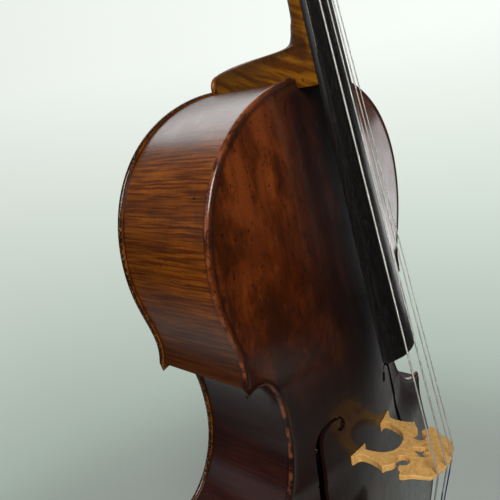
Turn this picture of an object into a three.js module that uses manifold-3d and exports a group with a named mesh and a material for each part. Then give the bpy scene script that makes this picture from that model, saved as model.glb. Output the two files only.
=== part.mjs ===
// A full-size violoncello as an assembly of its real pieces: plates, ribs, blocks, linings, bass bar and
// sound post, grafted neck and scroll, fittings, strings, tuners and a sliding endpin.
// Millimetres, +Z up along the instrument, +X on the treble side, the belly faces -Y.
// The pieces are drawn in "body" coordinates: z = 0 at the top edge of the body, y = 0 on the belly's edge,
// y growing towards the back. The outer group moves them so that the endpin's foot is at the origin.

import * as THREE from 'three';
import { mergeVertices } from 'three/addons/utils/BufferGeometryUtils.js';
import Module from 'manifold-3d';

const manifold = await Module();
manifold.setup();

// ---------------------------------------------------------------- driving dimensions
const GAP = 0.3; // clearance between pieces that are cut to each other
const BODY_LENGTH = 755;
const UPPER_HALF = 172.5; // half widths of the three bouts
const WAIST_HALF = 112.8;
const LOWER_HALF = 220;
const DEPTH = 117; // outside of the belly's edge to outside of the back's edge
const EDGE = 4.5; // thickness of both plates
const OVERHANG = 3.5; // plate edge beyond the rib
const RIB = 1.3;
const BELLY_ARCH = 26;
const BACK_ARCH = 25;
const BODY_TOP = 885; // height of the body's top edge above the foot of the endpin

const NUT_Z = 280; // neck stop, from the body's top edge to the nut
const NUT_LENGTH = 10;
const BOARD_END = -277.6;
const BOARD_HALF_NUT = 15.75;
const BOARD_HALF_END = 31.2;
const BOARD_EDGE = 6.4; // thickness of the fingerboard at its long edges
const BOARD_RADIUS = 62;
const OVERSTAND = 22.9; // underside of the fingerboard above the belly's edge, at z = 0
const BOARD_SLOPE = 0.1464;

const BRIDGE_Z = -399.5;
const STRING_TOP = 111.4; // height of the string plane over the belly's edge, at the bridge
const BRIDGE_FOOT_HALF = 45;

const TAIL_TOP = { y: -78, z: -516 };
const TAIL_END = { y: -16, z: -738 };

const ROD_RADIUS = 5;
const ENDPIN_Y = DEPTH / 2;

const STRINGS = [
  { name: 'c', radius: 0.95, nutX: -11, bridgeX: -23.1, tailX: -16.5, windX: -7.5, side: -1, peg: 0 },
  { name: 'g', radius: 0.78, nutX: -3.7, bridgeX: -7.5, tailX: -5.5, windX: -3.8, side: -1, peg: 2 },
  { name: 'd', radius: 0.62, nutX: 3.7, bridgeX: 7.5, tailX: 5.5, windX: 3.8, side: 1, peg: 3 },
  { name: 'a', radius: 0.52, nutX: 11, bridgeX: 23.1, tailX: 16.5, windX: 7.5, side: 1, peg: 1 },
];
const PEG_AXES = [ // from the nut towards the scroll
  { y: 42, z: 318 },
  { y: 47, z: 343 },
  { y: 57, z: 373 },
  { y: 64, z: 393 },
];

// ---------------------------------------------------------------- materials
const paint = (color, roughness, metalness = 0) =>
  new THREE.MeshStandardMaterial({ color, roughness, metalness });
const BELLY_WOOD = paint(0x5a2214, 0.35);
const BACK_WOOD = paint(0x7a3a18, 0.35);
const RIB_WOOD = paint(0x8a4a1c, 0.32);
const PLAIN_WOOD = paint(0xc9a26c, 0.75);
const NECK_WOOD = paint(0xc08a34, 0.4);
const SCROLL_WOOD = paint(0x7a3f1c, 0.38);
const EBONY = paint(0x14100e, 0.4);
const BRIDGE_WOOD = paint(0xd9a860, 0.6);
const STEEL = paint(0xc8c8c8, 0.3, 0.95);
const WOUND_STEEL = paint(0xb9b6ac, 0.4, 0.9);
const BRASS = paint(0xb8923c, 0.35, 0.9);
const CORD = paint(0x2a2622, 0.7);
const RUBBER = paint(0x1a1a1a, 0.9);

// ---------------------------------------------------------------- solids
const point = (x, y) => new THREE.Vector2(x, y);

function toSolid(geometry) {
  const bare = geometry.index ? geometry.toNonIndexed() : geometry.clone();
  bare.deleteAttribute('normal');
  bare.deleteAttribute('uv');
  const merged = mergeVertices(bare, 1e-4);
  const mesh = new manifold.Mesh({
    numProp: 3,
    vertProperties: new Float32Array(merged.attributes.position.array),
    triVerts: new Uint32Array(merged.index.array),
  });
  return new manifold.Manifold(mesh);
}

function toGeometry(solid) {
  const mesh = solid.getMesh();
  const geometry = new THREE.BufferGeometry();
  geometry.setAttribute('position', new THREE.BufferAttribute(new Float32Array(mesh.vertProperties), 3));
  geometry.setIndex(new THREE.BufferAttribute(new Uint32Array(mesh.triVerts), 1));
  geometry.computeVertexNormals();
  return geometry;
}

// Turns the faces over where they point inwards.
function facingOut(geometry) {
  const indexed = geometry.index ? geometry : mergeVertices(geometry);
  const position = indexed.attributes.position;
  const corners = [new THREE.Vector3(), new THREE.Vector3(), new THREE.Vector3()];
  const index = indexed.index.array;
  let volume = 0;
  for (let k = 0; k < index.length; k += 3) {
    corners.forEach((corner, c) => corner.fromBufferAttribute(position, index[k + c]));
    volume += corners[0].dot(corners[1].clone().cross(corners[2]));
  }
  if (volume < 0) {
    for (let k = 0; k < index.length; k += 3) [index[k], index[k + 1]] = [index[k + 1], index[k]];
  }
  indexed.computeVertexNormals();
  return indexed;
}

const extrude = (points, depth) =>
  new THREE.ExtrudeGeometry(new THREE.Shape(points), { depth, bevelEnabled: false });

// An outline in x and z, extruded along y from y0 to y1.
const slab = (points, y0, y1) => extrude(points, y1 - y0).rotateX(Math.PI / 2).translate(0, y1, 0);

// A side profile in y and z, extruded along x from x0 to x1.
const profile = (points, x0, x1) =>
  extrude(points, x1 - x0).rotateX(Math.PI / 2).rotateZ(Math.PI / 2).translate(x0, 0, 0);

const box = (x0, x1, y0, y1, z0, z1) =>
  new THREE.BoxGeometry(x1 - x0, y1 - y0, z1 - z0).translate((x0 + x1) / 2, (y0 + y1) / 2, (z0 + z1) / 2);

// A round piece along z, from pairs of radius and height.
const turned = (pairs, sides) =>
  new THREE.LatheGeometry(pairs.map(([radius, height]) => point(radius, height)), sides).rotateX(Math.PI / 2);

// Rings of equally many points, joined one after the other and closed at both ends.
function loft(rings) {
  const count = rings[0].length;
  const centre = (ring) => ring.reduce((sum, p) => sum.add(p), new THREE.Vector3()).divideScalar(count);
  const vertices = [...rings.flat(), centre(rings[0]), centre(rings.at(-1))];
  const first = rings.length * count;
  const faces = [];
  for (let k = 0; k < count; k++) {
    const next = (k + 1) % count;
    for (let ring = 0; ring < rings.length - 1; ring++) {
      const a = ring * count;
      const b = a + count;
      faces.push(a + k, a + next, b + next, a + k, b + next, b + k);
    }
    const last = first - count;
    faces.push(first, next, k, first + 1, last + k, last + next);
  }
  const geometry = new THREE.BufferGeometry();
  geometry.setAttribute('position', new THREE.Float32BufferAttribute(vertices.flatMap((p) => [p.x, p.y, p.z]), 3));
  geometry.setIndex(faces);
  return facingOut(geometry);
}

// A path whose stations are exactly the given points.
class Route extends THREE.Curve {
  constructor(points) {
    super();
    this.points = points;
  }
  getPoint(t, target = new THREE.Vector3()) {
    const place = THREE.MathUtils.clamp(t, 0, 1) * (this.points.length - 1);
    const index = Math.min(Math.floor(place), this.points.length - 2);
    return target.lerpVectors(this.points[index], this.points[index + 1], place - index);
  }
  getPointAt(u, target) {
    return this.getPoint(u, target);
  }
  getTangentAt(u, target) {
    return this.getTangent(u, target);
  }
}

function tube(points, radius, sides) {
  const section = new THREE.Shape();
  for (let k = 0; k < sides; k++) {
    const angle = (k * 2 * Math.PI) / sides;
    const corner = [radius * Math.cos(angle), radius * Math.sin(angle)];
    if (k === 0) section.moveTo(...corner);
    else section.lineTo(...corner);
  }
  return new THREE.ExtrudeGeometry(section, { extrudePath: new Route(points), steps: points.length - 1 });
}

// ---------------------------------------------------------------- body outline
// Half outlines on the treble side as points of x and z, from the neck down to the endpin.
const bezier = (pairs, divisions) =>
  new THREE.CubicBezierCurve(...pairs.map(([x, down]) => point(x, -down))).getPoints(divisions);

const UPPER_CORNER = { x: 158.3, down: 250.9 };
const LOWER_CORNER = { x: 190.6, down: 435.8 };
const CORNER_WIDTH = 9.7;

const UPPER_CURVE = [
  ...bezier([[0, 0], [103.2, 0], [UPPER_HALF, 54.8], [UPPER_HALF, 145.6]], 9),
  ...bezier([[UPPER_HALF, 145.6], [UPPER_HALF, 194.5], [148.9, 220.7], [UPPER_CORNER.x, UPPER_CORNER.down]], 5).slice(1),
];
const WAIST_CURVE = [
  ...bezier([[156.8, UPPER_CORNER.down + CORNER_WIDTH], [131.1, 252.1], [WAIST_HALF, 268.5], [WAIST_HALF, 330.8]], 7),
  ...bezier([[WAIST_HALF, 330.8], [WAIST_HALF, 387.7], [146.3, 429.2], [188.6, LOWER_CORNER.down - CORNER_WIDTH]], 7)
    .slice(1),
];
const LOWER_CURVE = [
  ...bezier([[LOWER_CORNER.x, LOWER_CORNER.down], [182.6, 475.8], [LOWER_HALF, 540], [LOWER_HALF, 600]], 6),
  ...bezier([[LOWER_HALF, 600], [LOWER_HALF, 685], [123.2, BODY_LENGTH], [0, BODY_LENGTH]], 9).slice(1),
];

const mirrored = (points) => points.map((p) => point(-p.x, p.y));

function fullOutline() {
  const half = [...UPPER_CURVE, ...WAIST_CURVE, ...LOWER_CURVE];
  return [...half, ...mirrored(half.slice(1, -1)).reverse()];
}

// The curve moved inwards by a distance, square to itself.
function inset(points, distance) {
  return points.map((p, k) => {
    const along = points[Math.min(k + 1, points.length - 1)].clone().sub(points[Math.max(k - 1, 0)]).normalize();
    if (p.x === 0) along.set(Math.sign(along.x), 0); // the outline is level where it crosses the middle
    return point(p.x + along.y * distance, p.y - along.x * distance);
  });
}

// The curve without its first and last stretch, measured along it.
function trimmed(points, fromStart, fromEnd) {
  const lengths = [0];
  for (let k = 1; k < points.length; k++) lengths.push(lengths[k - 1] + points[k].distanceTo(points[k - 1]));
  const stop = lengths.at(-1) - fromEnd;
  const at = (where) => {
    const k = lengths.findIndex((length) => length >= where) || 1;
    const t = (where - lengths[k - 1]) / (lengths[k] - lengths[k - 1]);
    return points[k - 1].clone().lerp(points[k], t);
  };
  const inner = points.filter((p, k) => lengths[k] > fromStart + 0.5 && lengths[k] < stop - 0.5);
  return [fromStart > 0 ? at(fromStart) : points[0], ...inner, fromEnd > 0 ? at(stop) : points.at(-1)];
}

// ---------------------------------------------------------------- arching
const smooth = (t) => THREE.MathUtils.smoothstep(t, 0, 1);

function widthAt(curve, down) {
  const k = curve.findIndex((p) => -p.y >= down);
  if (k === 0) return curve[0].x;
  if (k < 0) return curve.at(-1).x;
  const t = (down + curve[k - 1].y) / (curve[k - 1].y - curve[k].y);
  return THREE.MathUtils.lerp(curve[k - 1].x, curve[k].x, t);
}

// Half width of the arched area: the outline without its corners.
function archHalfWidth(down) {
  const waist = widthAt(WAIST_CURVE.slice(4, -4), down);
  const upper = THREE.MathUtils.lerp(widthAt(UPPER_CURVE, down), waist, smooth((down - 215) / 60));
  return THREE.MathUtils.lerp(upper, widthAt(LOWER_CURVE, down), smooth((down - 408) / 72));
}

function archHeight(x, z, crown) {
  const down = THREE.MathUtils.clamp(-z, 0, BODY_LENGTH);
  const along = THREE.MathUtils.clamp((down - 4) / (BODY_LENGTH - 8), 0, 1);
  const across = THREE.MathUtils.clamp(Math.abs(x) / Math.max(archHalfWidth(down), 1), 0, 1);
  return crown * (1 - Math.abs(2 * along - 1) ** 2.6) * (1 - across ** 2) ** 1.35;
}

const bellyInside = (x, z) => EDGE - archHeight(x, z, BELLY_ARCH);

// A sheet of even thickness under an arched face; outward is -1 for the belly and 1 for the back.
function archedPlate(crown, outward, thickness) {
  const columns = 14;
  const rows = 24;
  const reachX = LOWER_HALF + 6;
  const grid = (offset) => {
    const rings = [];
    for (let row = 0; row <= rows; row++) {
      const z = THREE.MathUtils.lerp(20, -BODY_LENGTH - 6, row / rows);
      for (let column = 0; column <= columns; column++) {
        const x = THREE.MathUtils.lerp(-reachX, reachX, column / columns);
        rings.push(new THREE.Vector3(x, outward * (archHeight(x, z, crown) + offset), z));
      }
    }
    return rings;
  };
  const front = grid(outward < 0 ? 0 : -thickness);
  const rear = grid(outward < 0 ? -thickness : 0);
  const faces = [];
  const width = columns + 1;
  const quad = (a, b, c, d) => faces.push(a, b, c, a, c, d);
  for (let row = 0; row < rows; row++) {
    for (let column = 0; column < columns; column++) {
      const a = row * width + column;
      quad(a, a + width, a + width + 1, a + 1);
      const r = front.length + a;
      quad(r, r + 1, r + width + 1, r + width);
    }
  }
  const rim = [];
  for (let column = 0; column < columns; column++) rim.push(column);
  for (let row = 0; row < rows; row++) rim.push(row * width + columns);
  for (let column = columns; column > 0; column--) rim.push(rows * width + column);
  for (let row = rows; row > 0; row--) rim.push(row * width);
  rim.forEach((a, k) => {
    const b = rim[(k + 1) % rim.length];
    quad(a, b, b + front.length, a + front.length);
  });
  const geometry = new THREE.BufferGeometry();
  geometry.setAttribute(
    'position',
    new THREE.Float32BufferAttribute([...front, ...rear].flatMap((p) => [p.x, p.y, p.z]), 3),
  );
  geometry.setIndex(faces);
  return toSolid(geometry);
}

// ---------------------------------------------------------------- f-holes
// The slot's middle line on the treble side with its width there, from the upper eye to the lower eye.
const F_STATIONS = [
  { x: 46.5, z: -347, width: 2.4 },
  { x: 52, z: -341.5, width: 3 },
  { x: 63, z: -341, width: 4.6 },
  { x: 75, z: -348, width: 7.4 },
  { x: 81.5, z: -362, width: 9.6 },
  { x: 84.5, z: -390, width: 11 },
  { x: 86.5, z: -412, width: 11 },
  { x: 89.5, z: -440, width: 9.6 },
  { x: 95.5, z: -463, width: 7 },
  { x: 104.5, z: -477, width: 4.6 },
  { x: 113, z: -477, width: 2.6 },
];
const F_EYES = [
  { x: 50.5, z: -351.5, radius: 6 },
  { x: 109.5, z: -469, radius: 7.5 },
];

function soundHole(side) {
  const middle = new THREE.SplineCurve(F_STATIONS.map((s) => point(s.x, s.z)));
  const widths = new THREE.SplineCurve(F_STATIONS.map((s, k) => point(k, s.width)));
  const steps = 20;
  const edges = [[], []];
  for (let k = 0; k <= steps; k++) {
    const p = middle.getPoint(k / steps);
    const along = middle.getTangent(k / steps);
    const half = widths.getPoint(k / steps).y / 2;
    edges[0].push(point(p.x - along.y * half, p.y + along.x * half));
    edges[1].push(point(p.x + along.y * half, p.y - along.x * half));
  }
  const ribbon = [...edges[0], ...edges[1].reverse()];
  const place = (points) => (side > 0 ? points : mirrored(points));
  let hole = toSolid(slab(place(ribbon), -BELLY_ARCH - 9, EDGE + 5));
  for (const eye of F_EYES) {
    const circle = new THREE.EllipseCurve(eye.x, eye.z, eye.radius, eye.radius).getPoints(14).slice(0, -1);
    hole = hole.add(toSolid(slab(place(circle), -BELLY_ARCH - 9, EDGE + 5)));
  }
  return hole;
}

// ---------------------------------------------------------------- neck and fingerboard
const boardUnder = (z) => -OVERSTAND + BOARD_SLOPE * z;
const boardHalf = (z) =>
  THREE.MathUtils.mapLinear(z, NUT_Z, BOARD_END, BOARD_HALF_NUT, BOARD_HALF_END);
const arcRise = (x, half) => Math.sqrt(BOARD_RADIUS ** 2 - x ** 2) - Math.sqrt(BOARD_RADIUS ** 2 - half ** 2);
const boardTop = (x, z) => boardUnder(z) - BOARD_EDGE - arcRise(x, boardHalf(z));

// Stations of the neck: height, rear of the section, half width there, and how square the section is.
const NECK_STATIONS = [
  { z: -11.6, rear: 112.3, half: 13, square: 9 },
  { z: 0, rear: 112.3, half: 13, square: 9 },
  { z: 11, rear: 112.3, half: 12.5, square: 7 },
  { z: 15.5, rear: 111, half: 12, square: 5 },
  { z: 18, rear: 101, half: 12.5, square: 4.5 },
  { z: 20.3, rear: 86, half: 13.5, square: 4 },
  { z: 22, rear: 65, half: 15.5, square: 3.6 },
  { z: 23.2, rear: 40, half: 18.5, square: 3.2 },
  { z: 24.6, rear: 21, half: 21, square: 2.9 },
  { z: 27, rear: 13, half: 21.5, square: 2.6 },
  { z: 32, rear: 9.9, half: 21.5, square: 2.4 },
  { z: 42, rear: 8.3, half: 21, square: 2.3 },
  { z: 60, rear: 7.4, half: 21, square: 2.2 },
  { z: 150, rear: 19.1, half: 18.7, square: 2.2 },
  { z: 245, rear: 32.5, half: 16.1, square: 2.2 },
  { z: 262, rear: 35.8, half: 16, square: 2.3 },
  { z: 274, rear: 41, half: 16.8, square: 2.5 },
  { z: 283, rear: 48.5, half: 18.4, square: 2.8 },
  { z: 290, rear: 58, half: 21, square: 3.2 },
];

// Grown by a margin all round, it is also the tool that cuts the mortise.
function neckBlank(margin) {
  const sides = 14;
  const rings = NECK_STATIONS.map((station) => {
    const front = boardUnder(station.z) - margin;
    const depth = station.rear + margin - front;
    const frontHalf = Math.max(boardHalf(station.z) - 0.5, station.z > NUT_Z - 10 ? station.half : 0) + margin;
    const ring = [];
    for (let k = 0; k <= sides; k++) {
      const angle = (k * Math.PI) / sides;
      const back = Math.sin(angle) ** (2 / station.square);
      const side = Math.sign(Math.cos(angle)) * Math.abs(Math.cos(angle)) ** (2 / station.square);
      const half = THREE.MathUtils.lerp(frontHalf, station.half + margin, back);
      ring.push(new THREE.Vector3(half * (k === sides / 2 ? 0 : side), front + depth * back, station.z));
    }
    return ring;
  });
  rings[0].forEach((p) => (p.z -= margin));
  return loft(rings);
}

function fingerboard() {
  const crownPoints = 10;
  const scoop = { start: -24, full: -60, depth: 6 }; // the underside is hollow over the body
  const stations = [NUT_Z, 10, scoop.start, scoop.full, BOARD_END];
  const rings = stations.map((z) => {
    const half = boardHalf(z);
    const ring = [];
    for (let k = 0; k <= crownPoints; k++) {
      const x = THREE.MathUtils.lerp(half, -half, k / crownPoints);
      ring.push(new THREE.Vector3(x, boardTop(x, z), z));
    }
    const hollow = z <= scoop.full ? scoop.depth : 0;
    for (const across of [-1, -0.84, -0.45, 0, 0.45, 0.84, 1]) {
      const rise = hollow * (1 - (across / 0.84) ** 2);
      ring.push(new THREE.Vector3(half * across, boardUnder(z) - GAP - Math.max(rise, 0), z));
    }
    return ring;
  });
  return loft(rings.reverse());
}

function nut() {
  const half = BOARD_HALF_NUT;
  const rings = [NUT_Z + GAP, NUT_Z + 4, NUT_Z + NUT_LENGTH - GAP].map((z, step) => {
    const ring = [];
    for (let k = 0; k <= 8; k++) {
      const x = THREE.MathUtils.lerp(half, -half, k / 8);
      const top = boardUnder(NUT_Z) - BOARD_EDGE - arcRise(x, half) - [1.2, 1.2, -3.4][step];
      ring.push(new THREE.Vector3(x, top, z));
    }
    ring.push(new THREE.Vector3(-half, boardUnder(z) - GAP, z), new THREE.Vector3(half, boardUnder(z) - GAP, z));
    return ring;
  });
  return toSolid(loft(rings));
}

// ---------------------------------------------------------------- pegbox and scroll
const EYE = { y: 66, z: 441 };
const SCROLL_HALF = 14;
const PEGBOX_BASE = NUT_Z + NUT_LENGTH + GAP;
const PEGBOX_FRONT = [point(14, PEGBOX_BASE), point(25, 335), point(40, 380), point(53, 404)];
const PEGBOX_BACK = [point(58, PEGBOX_BASE), point(64, 304), point(72, 340), point(80, 380), point(91, 412)];

function pegboxAndScroll() {
  const volute = [];
  for (let k = 0; k <= 20; k++) {
    const angle = THREE.MathUtils.lerp(-0.35, 1.45 * Math.PI, k / 20);
    const radius = THREE.MathUtils.lerp(36, 40, Math.sin(angle) * 0.5 + 0.5);
    volute.push(point(EYE.y + radius * Math.cos(angle), EYE.z + radius * Math.sin(angle)));
  }
  const side = [...PEGBOX_BACK, ...volute, ...[...PEGBOX_FRONT].reverse()];
  const widths = [[PEGBOX_BASE, 21.5], [300, 22.5], [340, 20.5], [380, 17.5], [405, SCROLL_HALF], [490, SCROLL_HALF]];
  const front = [...widths.map(([z, half]) => point(half, z)), ...widths.map(([z, half]) => point(-half, z)).reverse()];
  let solid = toSolid(profile(side, -30, 30)).intersect(toSolid(slab(front, -20, 130)));
  for (const [radius, half] of [[30, 18], [21.5, 23], [14, 27], [7.5, 31]]) {
    const turn = new THREE.CylinderGeometry(radius, radius, 2 * half, 16).rotateZ(Math.PI / 2);
    solid = solid.add(toSolid(turn.translate(0, EYE.y, EYE.z)));
  }
  const hollowSide = [
    point(PEGBOX_FRONT[0].x - 20, PEGBOX_BASE - 2),
    ...PEGBOX_FRONT.slice(1).map((p) => point(p.x - 20, p.y)),
    point(78, 404),
    ...PEGBOX_BACK.slice(1, 4).reverse().map((p) => point(p.x - 11, p.y)),
    point(46, PEGBOX_BASE + 2),
  ];
  const hollowWidths = [[PEGBOX_BASE - 1, 13.5], [340, 12], [380, 9.5], [404, 7]];
  const hollowFront = [
    ...hollowWidths.map(([z, half]) => point(half, z)),
    ...hollowWidths.map(([z, half]) => point(-half, z)).reverse(),
  ];
  const hollow = toSolid(profile(hollowSide, -30, 30)).intersect(toSolid(slab(hollowFront, -20, 130)));
  solid = solid.subtract(hollow);
  for (const string of STRINGS) solid = solid.subtract(toSolid(pegShaft(string, GAP)));
  return toGeometry(solid);
}

// ---------------------------------------------------------------- pegs and windings
const PEG_TIP = -24; // measured along the peg, from the pegbox's middle towards the head
const PEG_COLLAR = 31;
const pegRadius = (along) => THREE.MathUtils.mapLinear(along, PEG_TIP, PEG_COLLAR, 5.2, 7);
const WINDING_HALF = 3;
const windingRadius = (string) => pegRadius(string.side * string.windX) + 2 * string.radius + GAP;

// Turned about x, with the head on the string's side.
function turnedPeg(string, pairs, sides) {
  const axis = PEG_AXES[string.peg];
  const geometry = turned(pairs, sides).rotateY((string.side * Math.PI) / 2);
  return geometry.translate(0, axis.y, axis.z);
}

const pegShaft = (string, margin) =>
  turnedPeg(string, [
    [0, PEG_TIP - margin],
    [pegRadius(PEG_TIP) + margin, PEG_TIP - margin],
    [pegRadius(PEG_COLLAR) + margin, PEG_COLLAR],
    [0, PEG_COLLAR],
  ], 12);

function peg(string) {
  const axis = PEG_AXES[string.peg];
  const shaft = turnedPeg(string, [
    [0, PEG_TIP],
    [pegRadius(PEG_TIP), PEG_TIP],
    [pegRadius(PEG_COLLAR), PEG_COLLAR],
    [9.5, PEG_COLLAR + 1],
    [9.5, PEG_COLLAR + 4],
    [6, PEG_COLLAR + 6],
    [5.5, PEG_COLLAR + 14],
    [0, PEG_COLLAR + 14],
  ], 12);
  const head = new THREE.SphereGeometry(1, 10, 7).rotateZ(Math.PI / 2).scale(17, 7, 15);
  head.translate(string.side * (PEG_COLLAR + 24), axis.y, axis.z);
  return toGeometry(toSolid(shaft).add(toSolid(head)));
}

function winding(string) {
  const middle = string.side * string.windX;
  const inner = pegRadius(middle + WINDING_HALF) + GAP;
  const outer = windingRadius(string) + GAP;
  return turnedPeg(string, [
    [inner, middle - WINDING_HALF],
    [outer, middle - WINDING_HALF],
    [outer, middle + WINDING_HALF],
    [inner, middle + WINDING_HALF],
    [inner, middle - WINDING_HALF],
  ], 12);
}

// ---------------------------------------------------------------- tailpiece frame
const TAIL_LENGTH = Math.hypot(TAIL_TOP.y - TAIL_END.y, TAIL_TOP.z - TAIL_END.z);
const TAIL_TILT = Math.atan2(TAIL_END.y - TAIL_TOP.y, TAIL_TOP.z - TAIL_END.z);
const TAIL_CROWN = 9;
const TAIL_RADIUS = 55;
const TAIL_UNDER = 5;
const TAIL_RIDGE = 1.8; // the ridge that the strings cross
const SLOT = { half: 3.2, top: -9.5, window: -46, end: -63, skin: -1 };
const PIVOT_Z = -36;
const SCREW_Z = -56;
const tailSurface = (x) => -TAIL_CROWN + x ** 2 / (2 * TAIL_RADIUS);

// From the tailpiece's own frame (z up along it, y inwards) to body coordinates.
const fromTail = (x, y, z) =>
  new THREE.Vector3(x, y, z)
    .applyAxisAngle(new THREE.Vector3(1, 0, 0), TAIL_TILT)
    .add(new THREE.Vector3(0, TAIL_TOP.y, TAIL_TOP.z));

function tailpiece() {
  const stations = [
    { z: 0, half: 31, lift: 0.5 },
    { z: -3, half: 33.5, lift: TAIL_RIDGE },
    { z: -7, half: 34, lift: TAIL_RIDGE },
    { z: -10, half: 34, lift: 0 },
    { z: -70, half: 30, lift: 0 },
    { z: -TAIL_LENGTH + 12, half: 19.5, lift: 0 },
    { z: -TAIL_LENGTH, half: 15, lift: -2.5 },
  ];
  const rings = stations.map(({ z, half, lift }) => {
    const ring = [];
    for (let k = 0; k <= 8; k++) {
      const x = THREE.MathUtils.lerp(half, -half, k / 8);
      ring.push(new THREE.Vector3(x, tailSurface(x) - lift, z));
    }
    ring.push(new THREE.Vector3(-half * 0.75, TAIL_UNDER, z), new THREE.Vector3(half * 0.75, TAIL_UNDER, z));
    return ring;
  });
  let solid = toSolid(loft(rings.reverse()));
  for (const string of STRINGS) {
    const x = string.tailX;
    const window = box(x - SLOT.half, x + SLOT.half, -30, 20, SLOT.window, SLOT.top);
    const cavity = box(x - SLOT.half, x + SLOT.half, SLOT.skin, 20, SLOT.end, SLOT.window + 1);
    const screwHole = new THREE.CylinderGeometry(1.8, 1.8, 20, 8).translate(x, -8, SCREW_Z);
    for (const tool of [window, cavity, screwHole]) solid = solid.subtract(toSolid(tool));
  }
  for (const x of [-GUT_HALF, GUT_HALF]) {
    const bore = new THREE.CylinderGeometry(GUT_RADIUS + 0.4, GUT_RADIUS + 0.4, 60, 8).rotateX(Math.PI / 2);
    solid = solid.subtract(toSolid(bore.translate(x, 0.5, -TAIL_LENGTH)));
  }
  return toGeometry(solid);
}

// A rocking bar in its slot: the string hooks between the prongs of its upper end, the screw presses its
// lower end.
function tunerLever(string) {
  const bar = [
    [-60, 0.2], [-46, 0.2], [-40, -2.5], [-24, -2.5], [-21.5, -7], [-18, -7], [-18, 3.5], [-60, 3.5],
  ].map(([z, y]) => point(y, z));
  const pin = new THREE.CylinderGeometry(1.6, 1.6, 2 * SLOT.half - 0.4, 10).rotateZ(Math.PI / 2);
  const fork = box(-1.6, 1.6, -8, -1.5, -22, -17); // the string's end stands free in it as the bar rocks
  const solid = toSolid(profile(bar, -2.5, 2.5)).add(toSolid(pin.translate(0, 1.2, PIVOT_Z)));
  return toGeometry(solid.subtract(toSolid(fork))).translate(string.tailX, 0, 0);
}

const KNOB_INNER = -16.6;

function tunerScrew(string) {
  const stem = [[0, 0], [1.5, 0], [1.5, 14], [2.5, 14.4], [2.5, 16], [0, 16]];
  return turned(stem, 10).rotateX(Math.PI / 2).translate(string.tailX, -0.2, SCREW_Z);
}

function tunerKnob(string) {
  const teeth = 12;
  const outline = [];
  for (let k = 0; k < 2 * teeth; k++) {
    const radius = k % 2 ? 4.4 : 4;
    outline.push(point(radius * Math.cos((k * Math.PI) / teeth), radius * Math.sin((k * Math.PI) / teeth)));
  }
  return slab(outline, KNOB_INNER - 6, KNOB_INNER).translate(string.tailX, 0, SCREW_Z);
}

// ---------------------------------------------------------------- strings
const stringHeight = (string) =>
  -STRING_TOP + string.bridgeX ** 2 / (2 * BOARD_RADIUS) - (string.name === 'c' ? 0.6 : 0);

function stringPoints(string) {
  const axis = PEG_AXES[string.peg];
  const nutY = boardUnder(NUT_Z) - BOARD_EDGE - arcRise(string.nutX, BOARD_HALF_NUT) - 1.3 - string.radius;
  const ridge = tailSurface(string.tailX) - TAIL_RIDGE - GAP - string.radius;
  const drum = windingRadius(string) + GAP + string.radius + GAP;
  return [
    new THREE.Vector3(string.windX, axis.y - drum * 0.92, axis.z - drum * 0.4),
    new THREE.Vector3(string.nutX, nutY + 0.8, NUT_Z + 6),
    new THREE.Vector3(string.nutX, nutY, NUT_Z + 2.5),
    new THREE.Vector3(string.bridgeX, stringHeight(string), BRIDGE_Z + 1.2),
    new THREE.Vector3(string.bridgeX, stringHeight(string), BRIDGE_Z - 1.2),
    fromTail(string.tailX, ridge, -3),
    fromTail(string.tailX, ridge, SLOT.top - 0.4),
    fromTail(string.tailX, -4.6, -16),
    fromTail(string.tailX, -4.6, -20.9),
  ];
}

const stringTube = (string, margin) => tube(stringPoints(string), string.radius + margin, 6);

// ---------------------------------------------------------------- bridge
// Half of the bridge from the crown of its arch down the leg and up the outside: x and height over the feet.
const BRIDGE_LEG = [
  [0, 38.5], [8, 37.5], [15, 34], [20.5, 28], [24, 20], [26, 12], [25.5, 7], [19, 3.2], [19, 0],
  [BRIDGE_FOOT_HALF, 0], [BRIDGE_FOOT_HALF, 3.5], [38, 7.5], [35.5, 13], [36.5, 24], [39.5, 33], [42.5, 36.5],
  [38.5, 38.5], [34.5, 42.5], [30, 45], [26.5, 44.5], [22.5, 43.2], [17.5, 45], [15, 49.5], [16.5, 54.5],
  [21, 57.2], [26, 56], [28.5, 52], [30.5, 49.5], [35, 50.5], [38.5, 54], [43, 55], [42.5, 59], [38, 65],
  [34.5, 73], [32, 81],
];
const BRIDGE_HEART = [[0, 50.5], [3, 53], [4.5, 59], [7.5, 62.5], [6.5, 66], [3.5, 66.5], [1.6, 63.5], [0, 67.5]];
const FOOT_Y = -archHeight(BRIDGE_FOOT_HALF, BRIDGE_Z, BELLY_ARCH) + 1.5;
const BRIDGE_THICK = { feet: 11, top: 2.8 };

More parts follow.
